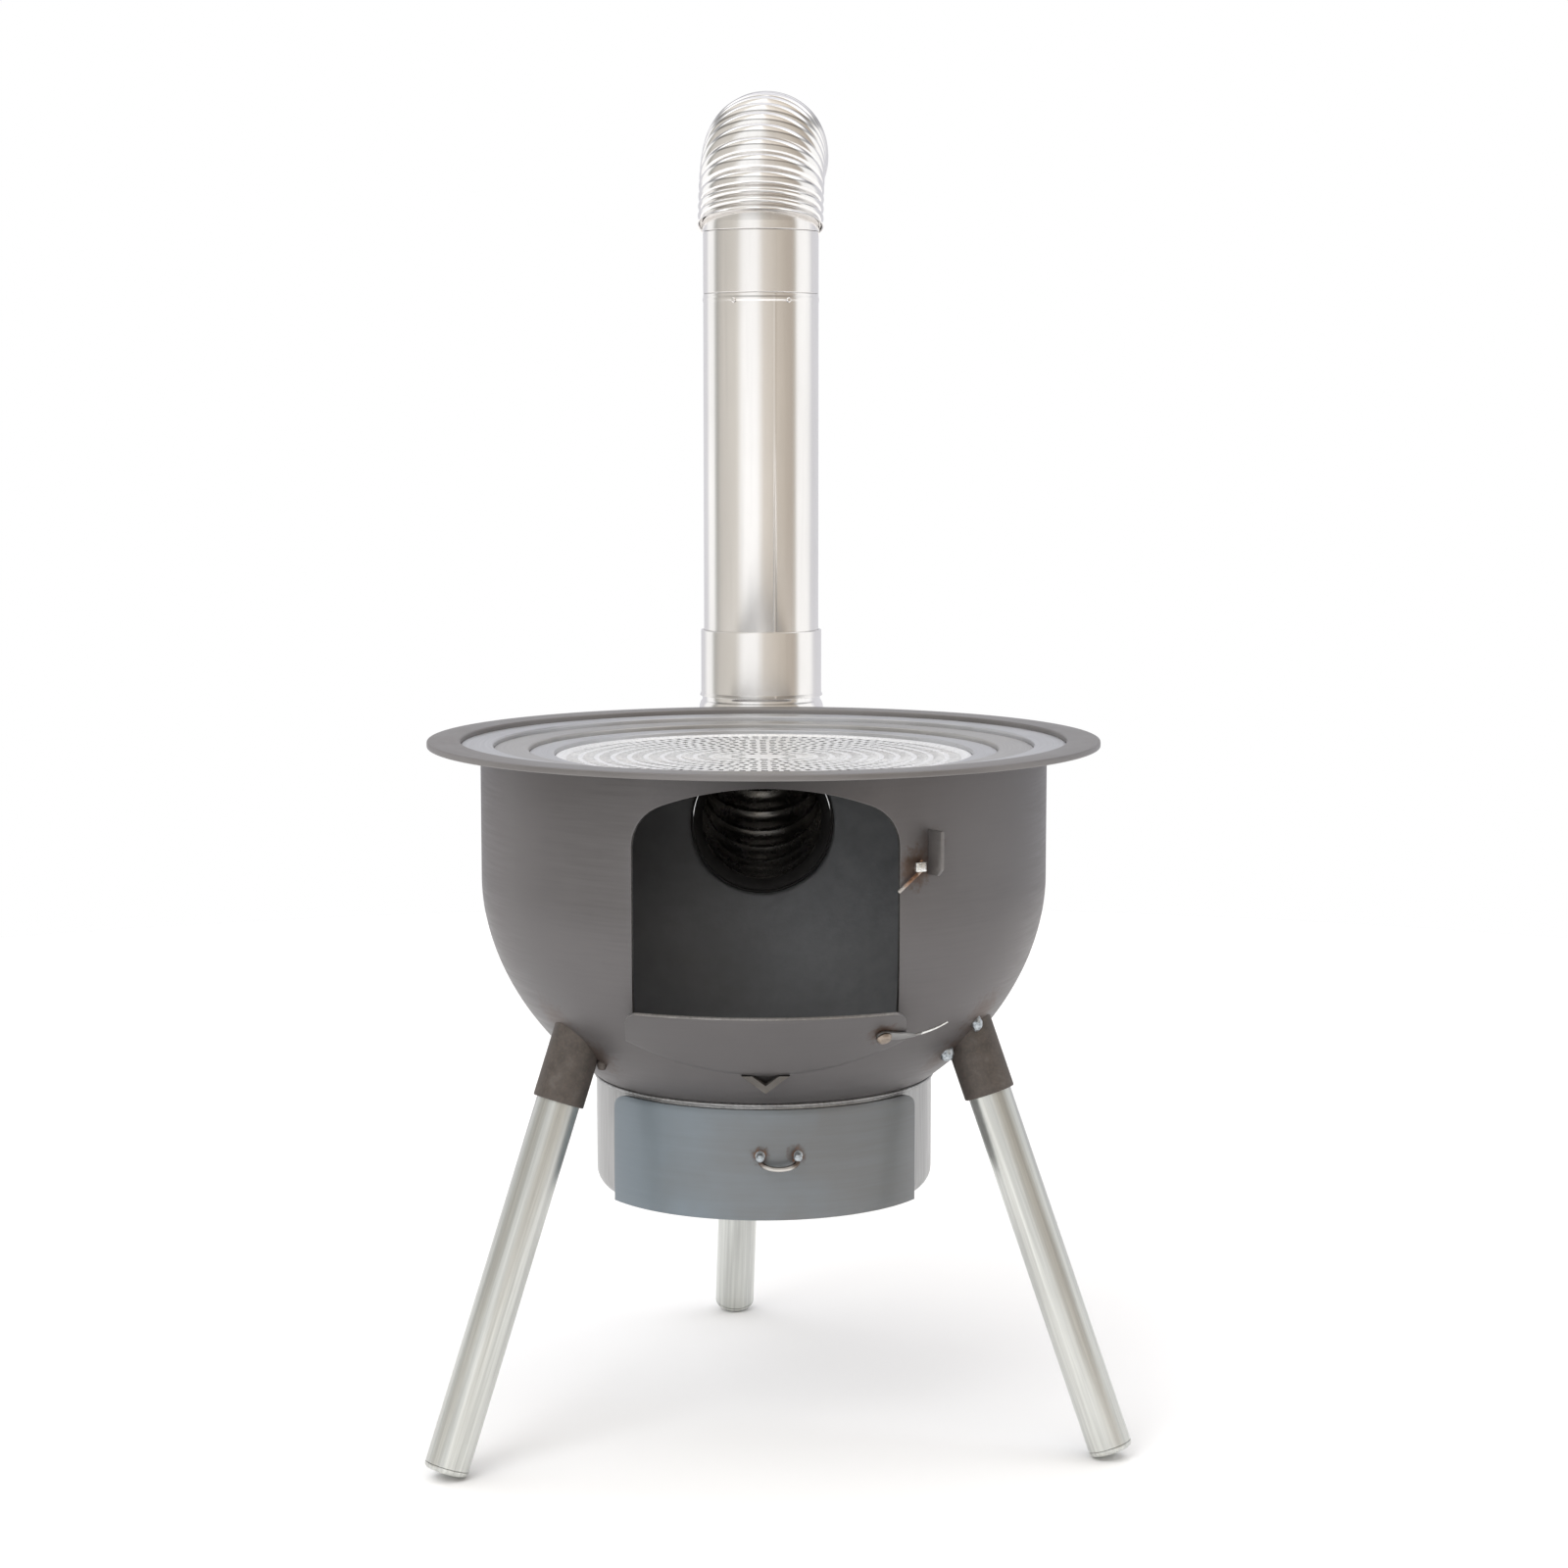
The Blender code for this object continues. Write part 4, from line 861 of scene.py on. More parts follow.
def zip_loops(bm, outer, inner):
    """Faces between two loops of (angle, vert), both sorted by angle, with unequal counts."""
    a, b = 0, 0
    outer = outer + [(outer[0][0] + 2.0 * math.pi, outer[0][1])]
    inner = inner + [(inner[0][0] + 2.0 * math.pi, inner[0][1])]
    while a < len(outer) - 1 or b < len(inner) - 1:
        step_out = b >= len(inner) - 1 or (a < len(outer) - 1 and outer[a + 1][0] <= inner[b + 1][0])
        if step_out:
            bm.faces.new((outer[a][1], outer[a + 1][1], inner[b][1]))
            a += 1
        else:
            bm.faces.new((outer[a][1], inner[b + 1][1], inner[b][1]))
            b += 1


def make_grill():
    """A thin perforated disc with a raised edge band; slots point at the centre."""
    radius = STEP_RADII[-1] - GAP
    top = RIM_TOP - RING_DROP * len(STEP_RADII)
    band, pitch, slot = 0.0085, 0.0122, 0.0085
    bm = bmesh.new()

    def height(r):
        lift = max(0.0, min(1.0, (r - radius + band) / 0.003))
        curl = max(0.0, min(1.0, (r - radius + 0.0016) / 0.0016))
        return top - 0.0014 + 0.0014 * lift * lift * (3.0 - 2.0 * lift) - 0.0008 * curl ** 2

    def loop(r, angles):
        return [(a, bm.verts.new((r * math.cos(a), r * math.sin(a), height(r)))) for a in angles]

    smooth = [2.0 * math.pi * (i + 0.5) / 180 for i in range(180)]
    last = loop(radius, smooth)
    for r in (radius - 0.0006, radius - 0.0016, radius - band + 0.003, radius - band + 0.0015):
        following = loop(r, smooth)
        zip_loops(bm, last, following)
        last = following
    outer = radius - band
    row = 0
    while outer - slot > 0.008:
        paired = outer if row % 2 == 0 else outer + pitch
        count = max(6, round(2.0 * math.pi * (paired - slot) / 0.0076))
        step = 2.0 * math.pi / count
        angles = []
        for i in range(count):
            angles += [step * (i + 0.19), step * (i + 0.81)]
        ends = [loop(outer, angles), loop(outer - slot, angles)]
        zip_loops(bm, last, ends[0])
        for i in range(count):
            a, b = 2 * i + 1, (2 * i + 2) % (2 * count)
            bm.faces.new((ends[0][a][1], ends[0][b][1], ends[1][b][1], ends[1][a][1]))
        last = ends[1]
        outer -= pitch
        row += 1
    centre = bm.verts.new((0.0, 0.0, height(0.0)))
    for i in range(len(last)):
        bm.faces.new((last[i][1], last[(i + 1) % len(last)][1], centre))
    face_up(bm)
    disc = settled(mesh_from(bm, "grill_skin"), MESH_SHEET, edge=0.00014, limit=60.0)
    add_piece("grill_mesh", disc, "grill", ["grill_plate"], [mesh_steel], sharp=50.0)


def make_grate():
    """The slotted iron disc under the fire, with softened bars."""
    low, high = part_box("fire_grate")
    radius = (high.x - low.x) / 2.0
    height = high.z - low.z
    pitch, slot, border = 0.020, 0.009, 0.014
    body = softened([(0.0, high.z), (radius, high.z), (radius, low.z), (0.0, low.z)],
                    [0.0, 0.0012, 0.0012, 0.0], closed=False)
    disc = linked("draft_disc", turned_mesh("grate", body, round_steps(128), closed=False))
    bm = bmesh.new()
    for i in range(-5, 6):
        half = math.sqrt((radius - border) ** 2 - (i * pitch) ** 2) - slot / 2.0
        outline = []
        for side in (1.0, -1.0):
            for a in span(0.0, math.pi, 8):
                outline.append((i * pitch + slot / 2.0 * math.cos(a) * side,
                                side * (half + slot / 2.0 * math.sin(a))))
        verts = [bm.verts.new((x, y, low.z - height)) for x, y in outline]
        face = bm.faces.new(verts)
        grown = bmesh.ops.extrude_face_region(bm, geom=[face])["geom"]
        lifted = [item for item in grown if isinstance(item, bmesh.types.BMVert)]
        bmesh.ops.translate(bm, verts=lifted, vec=(0.0, 0.0, height * 3.0))
    bmesh.ops.recalc_face_normals(bm, faces=bm.faces)
    slots = linked("draft_slots", mesh_from(bm, "slots"))
    cut = disc.modifiers.new("slots", "BOOLEAN")
    cut.object = slots
    cut.solver = "EXACT"
    round_edges(disc, 0.0008, 60.0)
    mesh = finished(disc)
    for draft in (disc, slots):
        bpy.data.objects.remove(draft, do_unlink=True)
    add_piece("grate_bars", mesh, "stove", ["fire_grate"], [grate_iron])


# ---------------------------------------------------------------- drum and drawer
def make_drum():
    """A pan with a rounded foot, a slot for the drawer and a weld where it meets the bowl."""
    half = TRAY_HALF + SLOT_CLEARANCE
    slot_low = TRAY_BOTTOM - SLOT_DROP
    slot_high = TRAY_TOP + SLOT_CLEARANCE
    centre_r, centre_z = DRUM_RADIUS - DRUM_EDGE, DRUM_BOTTOM + DRUM_EDGE
    line = [(r, DRUM_BOTTOM) for r in span(0.0, centre_r, 10)]
    low_angle = math.asin((centre_z - slot_low) / DRUM_EDGE)
    for a in span(-math.pi / 2.0, -low_angle, 4)[1:]:
        line.append((centre_r + DRUM_EDGE * math.cos(a), centre_z + DRUM_EDGE * math.sin(a)))
    first = len(line) - 1
    for a in span(-low_angle, 0.0, 6)[1:]:
        line.append((centre_r + DRUM_EDGE * math.cos(a), centre_z + DRUM_EDGE * math.sin(a)))
    line += [(DRUM_RADIUS, z) for z in span(centre_z, slot_high, 8)[1:]]
    last = len(line) - 1
    line += [(DRUM_RADIUS, z) for z in span(slot_high, DRUM_TOP, 6)[1:]]
    front, around = 48, 150
    rows = []
    for r, z in line:
        side = math.asin(half / max(r, DRUM_RADIUS - DRUM_EDGE * 0.6))
        angles = span(-side, side, front)[:-1]
        angles += span(side, 2.0 * math.pi - side, around)[:-1]
        rows.append([(r * math.sin(a), -r * math.cos(a), z) for a in angles])
    skin = mesh_from_grid("drum_skin", rows, wrap=True, skip=lambda j, i: first <= j < last and i < front)
    drum = settled(skin, DRUM_SHEET, edge=0.0005)
    add_piece("drum_pan", drum, "stove", ["ash_drum"], [drum_steel])

    bead = []
    for i in range(720):
        angle = 2.0 * math.pi * i / 720
        ripple = 0.0003 * math.sin(angle * 180.0) + 0.0002 * math.sin(angle * 37.0)
        bead.append((angle, ripple))
    rows = []
    for k in range(12):
        around_bead = 2.0 * math.pi * k / 12
        row = []
        for angle, ripple in bead:
            size = 0.0013 + ripple * 0.6
            radius = DRUM_RADIUS + 0.0002 + size * math.cos(around_bead)
            z = DRUM_TOP - 0.0006 + size * math.sin(around_bead)
            row.append((radius * math.cos(angle), radius * math.sin(angle), z))
        rows.append(row)
    weld = mesh_from_grid("drum_weld", rows, wrap=True, loop=True, recalc=True)
    add_piece("drum_weld", weld, "stove", [], [drum_steel])


def make_drawer_front():
    radius = DRUM_RADIUS + GAP * 1.5 + DRAWER_SHEET
    flat = DRAWER_HALF - DRAWER_CORNER
    limit = math.asin(flat / radius)
    corner = [flat + DRAWER_CORNER * math.sin(a) for a in span(0.0, math.pi / 2.0, 10)]
    columns = [-x for x in corner[::-1]]
    columns += [radius * math.sin(a) for a in span(-limit, limit, 56)[1:-1]] + corner
    rows = []
    for share in span(0.0, 1.0, 18):
        row = []
        for x in columns:
            over = max(0.0, abs(x) - flat)
            high = DRAWER_TOP - DRAWER_CORNER
            high += math.sqrt(max(0.0, DRAWER_CORNER ** 2 - over ** 2))
            z = DRAWER_FOOT + (high - DRAWER_FOOT) * share
            row.append((x, -math.sqrt(radius ** 2 - x ** 2), z))
        rows.append(row)
    sheet = settled(mesh_from_grid("drawer_skin", rows), DRAWER_SHEET, edge=0.0006)
    add_piece("drawer_panel", sheet, "ash_drawer", ["drawer_front"], [drawer_steel])


def make_tray():
    """The tray's folded sheet, with rounded upright corners and a turned floor edge."""
    low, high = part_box("drawer_tray")
    back = high.y - AXIS.y
    bow = DRUM_RADIUS + GAP
    limit = math.asin(TRAY_HALF / bow)
    outline = [(bow * math.sin(a), -bow * math.cos(a)) for a in span(-limit, limit, 24)]
    radii = [0.0] * len(outline)
    outline += [(TRAY_HALF, back), (-TRAY_HALF, back)]
    radii += [0.006, 0.006]
    outline = softened(outline, radii, steps=6)
    rows = []
    for inset, z in ((0.5, low.z), (0.9, low.z), (0.965, low.z), (0.99, low.z + 0.0007),
                     (1.0, low.z + 0.0024), (1.0, (low.z + high.z) / 2.0), (1.0, high.z)):
        middle_y = (outline[0][1] + back) / 2.0
        rows.append([(x * inset, middle_y + (y - middle_y) * inset, z) for x, y in outline])
    rows.insert(0, [(0.0, (outline[0][1] + back) / 2.0, low.z)] * len(outline))
    tray = settled(mesh_from_grid("tray_skin", rows, wrap=True), TRAY_SHEET, edge=0.0004)
    add_piece("tray_sheet", tray, "ash_drawer", ["drawer_tray"], [drum_steel])


def make_handle():
    front = DRUM_RADIUS + GAP * 1.5 + DRAWER_SHEET
    head, shank = 0.0031, 0.0021
    for i, side in enumerate((-1.0, 1.0)):
        x = HANDLE_X + side * HANDLE_HALF
        base = math.sqrt(front ** 2 - x ** 2)
        tip = HANDLE_STAND + 0.0012
        outline = [(0.0, tip), (head * 0.7, tip - 0.0002), (head, tip - 0.0014), (head, tip - 0.0026),
                   (shank, tip - 0.0030), (shank, 0.0012), (shank * 1.7, 0.0), (0.0, 0.0)]
        radii = [0.0, 0.001, 0.0008, 0.0004, 0.0004, 0.001, 0.0, 0.0]
        place = Matrix.Translation((x, -base, HANDLE_Z)) @ Matrix.Rotation(math.pi / 2, 4, "X")
        turned_piece(f"handle_stud_turned_{i + 1}", outline, radii, ("ash_drawer", f"handle_stud_{i + 1}"),
                     weld_bead, place, 40, closed=False)
    start = shank + HANDLE_WIRE * 0.2
    depth = -front - 0.0048
    points = []
    for share in span(-1.0, 1.0, 14):
        x = HANDLE_X + HANDLE_HALF * math.sin(share * math.pi / 2.0)
        bow = math.cos(share * math.pi / 2.0)
        points.append((x, depth - 0.003 * bow, HANDLE_Z - start - (HANDLE_SAG - start) * bow))
    loop = wire_mesh("handle_loop", smooth_path(points, 4), HANDLE_WIRE, 20)
    add_piece("handle_wire", loop, "ash_drawer", ["drawer_handle"], [handle_steel])


# ---------------------------------------------------------------- tripod
def leg_frame(index):
    """A frame at the middle of a foot: local Z runs up the leg, local X points outwards."""
    azimuth = LEG_TURN + math.radians(90.0 + 120.0 * index)
    edge = (LEG_RADIUS - CAP_EDGE) * math.sin(LEG_SPREAD)
    out = LEG_FLOOR_RADIUS - edge * math.tan(LEG_SPREAD)
    spot = Matrix.Translation((out * math.cos(azimuth), out * math.sin(azimuth), edge))
    return spot @ Matrix.Rotation(azimuth, 4, "Z") @ Matrix.Rotation(-LEG_SPREAD, 4, "Y")


def along_leg(height):
    """Distance from the foot, along the leg, to a height above the floor."""
    return (height - (LEG_RADIUS - CAP_EDGE) * math.sin(LEG_SPREAD)) / math.cos(LEG_SPREAD)


def reach_dome(place, radius, angle, start):
    """How far up the leg a line parallel to it meets the bowl."""
    low, high = start, start + 0.12
    for _ in range(40):
        half = (low + high) / 2.0
        spot = place @ Vector((radius * math.cos(angle), radius * math.sin(angle), half))
        if math.hypot(spot.x, spot.y) < dome_radius(spot.z):
            high = half
        else:
            low = half
    return low


def make_socket(index, place):
    """A tube whose upper end is cut to the bowl."""
    foot = along_leg(SOCKET_FOOT)
    bore = LEG_RADIUS + GAP
    rows = []
    angles = round_steps(LEG_ROUND)
    tops = [reach_dome(place, SOCKET_RADIUS, a, foot) for a in angles]
    inner_tops = [reach_dome(place, bore, a, foot) for a in angles]
    for share in span(0.0, 1.0, 10)[::-1]:
        rows.append([(SOCKET_RADIUS * math.cos(a), SOCKET_RADIUS * math.sin(a),
                      foot + 0.0008 + (top - foot - 0.0008) * share) for a, top in zip(angles, tops)])
    for r, z in ((SOCKET_RADIUS - 0.0002, foot + 0.0003), (SOCKET_RADIUS - 0.0007, foot),
                 (bore + 0.0005, foot), (bore, foot + 0.0005)):
        rows.append([(r * math.cos(a), r * math.sin(a), z) for a in angles])
    for share in (0.5, 1.0):
        rows.append([(bore * math.cos(a), bore * math.sin(a), foot + (top - foot) * share)
                     for a, top in zip(angles, inner_tops)])
    tube = mesh_from_grid("socket", rows, wrap=True, loop=True, recalc=True)
    add_piece(f"socket_tube_{index + 1}", tube, "stove", [f"leg_socket_{index + 1}"],
              [socket_steel], place)


def make_tripod():
    for i in range(3):
        place = leg_frame(i)
        low, high = CAP_THICKNESS + GAP, along_leg(LEG_HEIGHT)
        wall = LEG_RADIUS - LEG_WALL
        outline = [(LEG_RADIUS, high), (LEG_RADIUS, low), (wall, low), (wall, high)]
        turned_piece(f"leg_tube_{i + 1}", outline, [0.0005, 0.0002, 0.0005, 0.0005],
                     ("stove", f"leg_{i + 1}"), leg_steel, place, LEG_ROUND)
        turn = CAP_THICKNESS * 0.85
        outline = [(0.0, CAP_THICKNESS), (LEG_RADIUS, CAP_THICKNESS)]
        outline += [(LEG_RADIUS - turn + turn * math.cos(a), turn - turn * math.sin(a))
                    for a in span(0.0, math.pi / 2.0, 10)] + [(0.0, 0.0)]
        turned_piece(f"foot_end_{i + 1}", outline, [0.0] * len(outline), ("stove", f"foot_cap_{i + 1}"),
                     leg_steel, place, LEG_ROUND, closed=False)
        make_socket(i, place)


def make_weld_tacks():
    """Lumps of weld with ripples, flattened against the bowl."""
    tacks = ((0.3178, -0.546, (0.0040, 0.0036, 0.0066)), (0.2945, -0.612, (0.0050, 0.0042, 0.0058)),
             (0.2885, -2.430, (0.0034, 0.0034, 0.0040)))
    for i, (height, azimuth, size) in enumerate(tacks):
        bm = bmesh.new()
        bmesh.ops.create_icosphere(bm, subdivisions=5, radius=1.0)
        for vert in bm.verts:
            point = vert.co.copy()
            lump = 0.10 * math.sin(5.0 * point.x + i) * math.cos(4.0 * point.z)
            lump += 0.05 * math.sin(11.0 * point.z + 2.0 * i) + 0.04 * math.cos(9.0 * point.y)
            taper = 1.0 - 0.8 * max(0.0, point.z) if i == 0 else 1.0
            vert.co = Vector((point.x * taper, point.y * taper, point.z)) * (1.04 + lump * 0.5)
            vert.co = Vector((vert.co.x * size[0], vert.co.y * size[1], vert.co.z * size[2]))
        out = dome_radius(height) + 0.0012
        place = Matrix.Translation((out * math.cos(azimuth), out * math.sin(azimuth), height))
        add_piece(f"weld_lump_{i + 1}", mesh_from(bm, "tack"), "stove", [f"weld_tack_{i + 1}"],
                  [weld_bead if i < 2 else socket_steel], place)


# ---------------------------------------------------------------- flue
def pleated_bend(name, bend, ribs, before, after, lean=0.0, start=(0.0, 0.0)):
    """A corrugated bend that starts up local Z and ends along local Y, both bend away.

    A lean tips the first rib back and keeps it so along a short stem.
    """
    rise = (bend - start[1]) - (bend - start[0]) * (1.0 - math.sin(lean)) / math.cos(lean)
    stem = rise / (math.cos(lean) - math.tan(lean) * (1.0 - math.sin(lean)))
    arc = (bend - start[0] - stem * math.sin(lean)) / math.cos(lean)
    length = stem + arc * (math.pi / 2.0 - lean)
    phase = 0.5 if lean else 0.0
    per_rib = 12
    count = round(per_rib * ribs)
    stations = [(-before, 0.0), (-before * 0.5, 0.0)] if before else []
    stations += [(0.0, k / count) for k in range(count + 1)]
    stations += [(after * share, 1.0) for share in (0.25, 0.5, 1.0)]

    def point(straight, share, around, thinner):
        along = share * length
        tilt = lean + max(0.0, along - stem) / arc
        run = min(along, stem)
        y = start[0] + run * math.sin(lean) + arc * (math.cos(lean) - math.cos(tilt))
        z = start[1] + run * math.cos(lean) + arc * (math.sin(tilt) - math.sin(lean))
        inner = (1.0 + math.sin(around)) / 2.0
        wave = abs(math.sin(math.pi * (share * ribs + phase))) ** 0.75 if straight == 0.0 else 0.0
        radius = ROOT_RADIUS + (CREST_RADIUS - ROOT_RADIUS) * (1.0 - 0.85 * inner * (share > 0.0)) * wave
        radius -= thinner
        y += straight * math.sin(tilt) + radius * math.sin(around) * math.cos(tilt)
        z += straight * math.cos(tilt) - radius * math.sin(around) * math.sin(tilt)
        return (radius * math.cos(around), y, z)

    angles = [2.0 * math.pi * i / TUBE_ROUND for i in range(TUBE_ROUND)]
    rows = [[point(s, t, a, 0.0) for a in angles] for s, t in stations]
    rows += [[point(s, t, a, ELBOW_WALL) for a in angles] for s, t in stations[::-1]]
    mesh = mesh_from_grid(name, rows, wrap=True, loop=True, recalc=True)
    mesh.materials.append(bend_steel)
    mesh.materials.append(flue_soot)
    lip_rows = 14 if lean else 1
    for polygon in mesh.polygons:
        rows_met = [index // TUBE_ROUND for index in polygon.vertices]
        deep = len(stations) + 4 <= min(rows_met) and max(rows_met) < 2 * len(stations) - lip_rows
        polygon.material_index = 1 if deep else 0
    return mesh


def flare_end(mesh, reach, radius):
    """Opens out the last few millimetres of a bend, so that it fills the tube it sits in."""
    for vert in mesh.vertices:
        share = max(0.0, 1.0 - (reach - vert.co.y) / 0.006)
        across = math.hypot(vert.co.x, vert.co.z - LOWER_BEND)
        if share > 0.0:
            grown = across + (radius - ROOT_RADIUS) * share ** 2
            vert.co.x *= grown / across
            vert.co.z = LOWER_BEND + (vert.co.z - LOWER_BEND) * grown / across


def flue_tube(name, outline, radii, azimuths, seam=0.0):
    """A turned tube, with an optional raised seam down one side of its outer face."""
    profile = softened(outline, radii)
    outer = max(r for r, z in profile)
    rows = []
    for r, z in profile:
        row = []
        for a in azimuths:
            offset = (a - SEAM_AZIMUTH + math.pi) % (2.0 * math.pi) - math.pi
            lift = seam * math.exp(-(offset * PIPE_RADIUS / 0.0009) ** 2) if r > outer - 0.0004 else 0.0
            row.append(((r + lift) * math.cos(a), (r + lift) * math.sin(a), z))
        rows.append(row)
    return mesh_from_grid(name, rows, wrap=True, loop=True, recalc=True)


def make_flue():
    upright = Matrix.Translation((0.0, FLUE_Y, 0.0))
    angles = round_steps(TUBE_ROUND)
    near_seam = [SEAM_AZIMUTH + 0.006 * k for k in range(-10, 11)]
    clear = [a for a in angles if abs(a - SEAM_AZIMUTH) > 0.085]
    seam_angles = sorted(clear + near_seam)

    bore = INLET_RADIUS - INLET_WALL
    outline = [(INLET_RADIUS, INLET_BACK), (INLET_RADIUS, INLET_FRONT), (bore, INLET_FRONT),
               (bore, INLET_BACK)]
    inlet = turned_mesh("inlet", softened(outline, [0.0006, 0.0007, 0.0007, 0.0006]), angles)
    for material in (socket_steel, grate_iron):
        inlet.materials.append(material)
    for polygon in inlet.polygons:
        in_bore = math.hypot(polygon.center.x, polygon.center.y) < bore + 0.0006
        polygon.material_index = 1 if in_bore or polygon.center.z < BOWL_RADIUS - SHEET else 0
    lay_back = Matrix.Translation((0.0, 0.0, INLET_Z)) @ Matrix.Rotation(-math.pi / 2, 4, "X")
    add_piece("inlet_tube", inlet, "stove", ["flue_inlet"], [socket_steel, grate_iron],
              lay_back)

    elbow_top = INLET_Z + LOWER_BEND
    # Local Z of the lower bend points down, so that its plain end at the top comes first.
    lower = pleated_bend("bend_lower", LOWER_BEND, LOWER_RIBS, ELBOW_PLAIN,
                         FLUE_Y - LOWER_BEND - LOWER_START)
    flare_end(lower, FLUE_Y - LOWER_START, bore - 0.0004)
    lower.materials.append(grate_iron)
    for polygon in lower.polygons:
        if polygon.center.y > FLUE_Y - LOWER_START - 0.0070:
            polygon.material_index = 2
    place = Matrix.Translation((0.0, FLUE_Y, elbow_top)) @ Matrix.Rotation(math.pi, 4, "X")
    add_piece("bend_lower_pleated", lower, "stove", ["flue_elbow_lower"],
              [bend_steel, flue_soot, grate_iron], place, sharp=70.0)

    foot = elbow_top + ELBOW_PLAIN + GAP
    seat = ROOT_RADIUS - 0.0028
    inner = PIPE_RADIUS + GAP
    outline = [(COLLAR_RADIUS, COLLAR_TOP), (COLLAR_RADIUS, foot + 0.003), (COLLAR_RADIUS + 0.0012, foot),
               (seat, foot), (seat, foot + 0.0017), (inner, foot + 0.0017), (inner, COLLAR_TOP)]
    radii = [0.0007, 0.001, 0.0004, 0.0003, 0.0003, 0.0003, 0.0005]
    collar = flue_tube("collar_lower", outline, radii, seam_angles, COLLAR_SEAM)
    add_piece("collar_lower_sleeve", collar, "stove", ["flue_collar_lower"], [flue_steel],
              upright)

    start = foot + 0.002
    bead = 0.0004
    outline = [(PIPE_RADIUS, PIPE_JOINT), (PIPE_RADIUS, PIPE_JOINT - 0.0022),
               (PIPE_RADIUS + bead, PIPE_JOINT - 0.0040), (PIPE_RADIUS + bead, PIPE_JOINT - 0.0052),
               (PIPE_RADIUS, PIPE_JOINT - 0.0070), (PIPE_RADIUS, start),
               (PIPE_RADIUS - PIPE_WALL, start), (PIPE_RADIUS - PIPE_WALL, PIPE_JOINT)]
    radii = [0.0006, 0.001, 0.0008, 0.0008, 0.001, 0.0004, 0.0004, 0.0004]
    pipe = flue_tube("pipe_lower", outline, radii, seam_angles, PIPE_SEAM)
    add_piece("pipe_lower_tube", pipe, "flue", ["flue_pipe_lower"], [flue_steel], upright)

    spigot = PIPE_RADIUS - PIPE_WALL - GAP
    low = PIPE_JOINT - 0.030
    pipe_end = PIPE_TOP + PIPE_RISE
    outline = [(PIPE_RADIUS, pipe_end), (PIPE_RADIUS, PIPE_JOINT + GAP), (spigot, PIPE_JOINT + GAP),
               (spigot, low), (spigot - PIPE_WALL, low), (spigot - PIPE_WALL, pipe_end)]
    turned_piece("pipe_upper_tube", outline, [0.0005, 0.0008, 0.0, 0.0, 0.0, 0.0],
                 ("flue", "flue_pipe_upper"), flue_steel, upright)

    outline = [(0.0, 0.0009), (0.0014, 0.0008), (0.0022, 0.0), (0.0, 0.0)]
    for i, azimuth in enumerate((-62.0, -118.0, 90.0)):
        seat_place = turn_frame(math.radians(azimuth), PIPE_RADIUS + 0.0003, PIPE_JOINT - 0.0060)
        turned_piece(f"pipe_rivet_{i + 1}", outline, [0.0, 0.0006, 0.0, 0.0],
                     ("flue", f"flue_rivet_{i + 1}"), flue_steel, upright @ seat_place, 24,
                     closed=False)

    swivel = upright @ Matrix.Rotation(TOP_TURN, 4, "Z")
    end = TOP_START - ELBOW_PLAIN - GAP
    inside = spigot - PIPE_WALL - 0.0008
    low = PIPE_TOP - 0.022
    outline = [(0.0462, end + 0.015), (0.0484, end + 0.001), (0.0488, pipe_end + GAP),
               (inside, pipe_end + GAP), (inside, low), (inside - PIPE_WALL, low),
               (inside - PIPE_WALL, end), (0.0462 - PIPE_WALL, end + 0.015)]
    turned_piece("collar_top_sleeve", outline, [0.0004, 0.004, 0.0009] + [0.0] * 5,
                 ("flue_top", "flue_collar_top"), flue_steel, swivel)
    top = pleated_bend("bend_top", TOP_BEND, TOP_RIBS - 0.5, 0.0, OUTLET_LENGTH, TOP_LEAN, TOP_LIP)
    add_piece("bend_top_pleated", top, "flue_top", ["flue_elbow_top"],
              [bend_steel, flue_soot], swivel @ Matrix.Translation((0.0, 0.0, TOP_START)), sharp=70.0)
    band_radius = ROOT_RADIUS + GAP + 0.0016
    outline = [(band_radius, OUTLET_LENGTH), (band_radius, 0.003), (ROOT_RADIUS + GAP, 0.003),
               (ROOT_RADIUS + GAP, OUTLET_LENGTH)]
    outlet = Matrix.Translation((0.0, TOP_BEND, TOP_START + TOP_BEND))
    turned_piece("outlet_band_rolled", outline, [0.0007, 0.0007, 0.0002, 0.0002],
                 ("flue_top", "flue_outlet_band"), flue_steel,
                 swivel @ outlet @ Matrix.Rotation(-math.pi / 2, 4, "X"))


# ---------------------------------------------------------------- catch and lever
def square_mesh(name, half, low, high):
    """A square bolt head with rounded edges."""
    corners = [(half[0], half[1]), (-half[0], half[1]), (-half[0], -half[1]), (half[0], -half[1])]
    outline = softened(corners, [0.0008] * 4)
    rows = []
    levels = ((1.0, low), (0.0, low + 0.0005), (0.0, high - 0.0007), (0.35, high - 0.0002), (1.0, high))
    for inset, z in levels:
        shrink = 0.0007 * inset
        rows.append([(x * (1.0 - shrink / half[0]), y * (1.0 - shrink / half[1]), z) for x, y in outline])
    rows.insert(0, [(0.0, 0.0, low)] * len(outline))
    rows.append([(0.0, 0.0, high)] * len(outline))
    return mesh_from_grid(name, rows, wrap=True, recalc=True)


def joined(name, meshes):
    bm = bmesh.new()
    for mesh in meshes:
        bm.from_mesh(mesh)
    return mesh_from(bm, name)


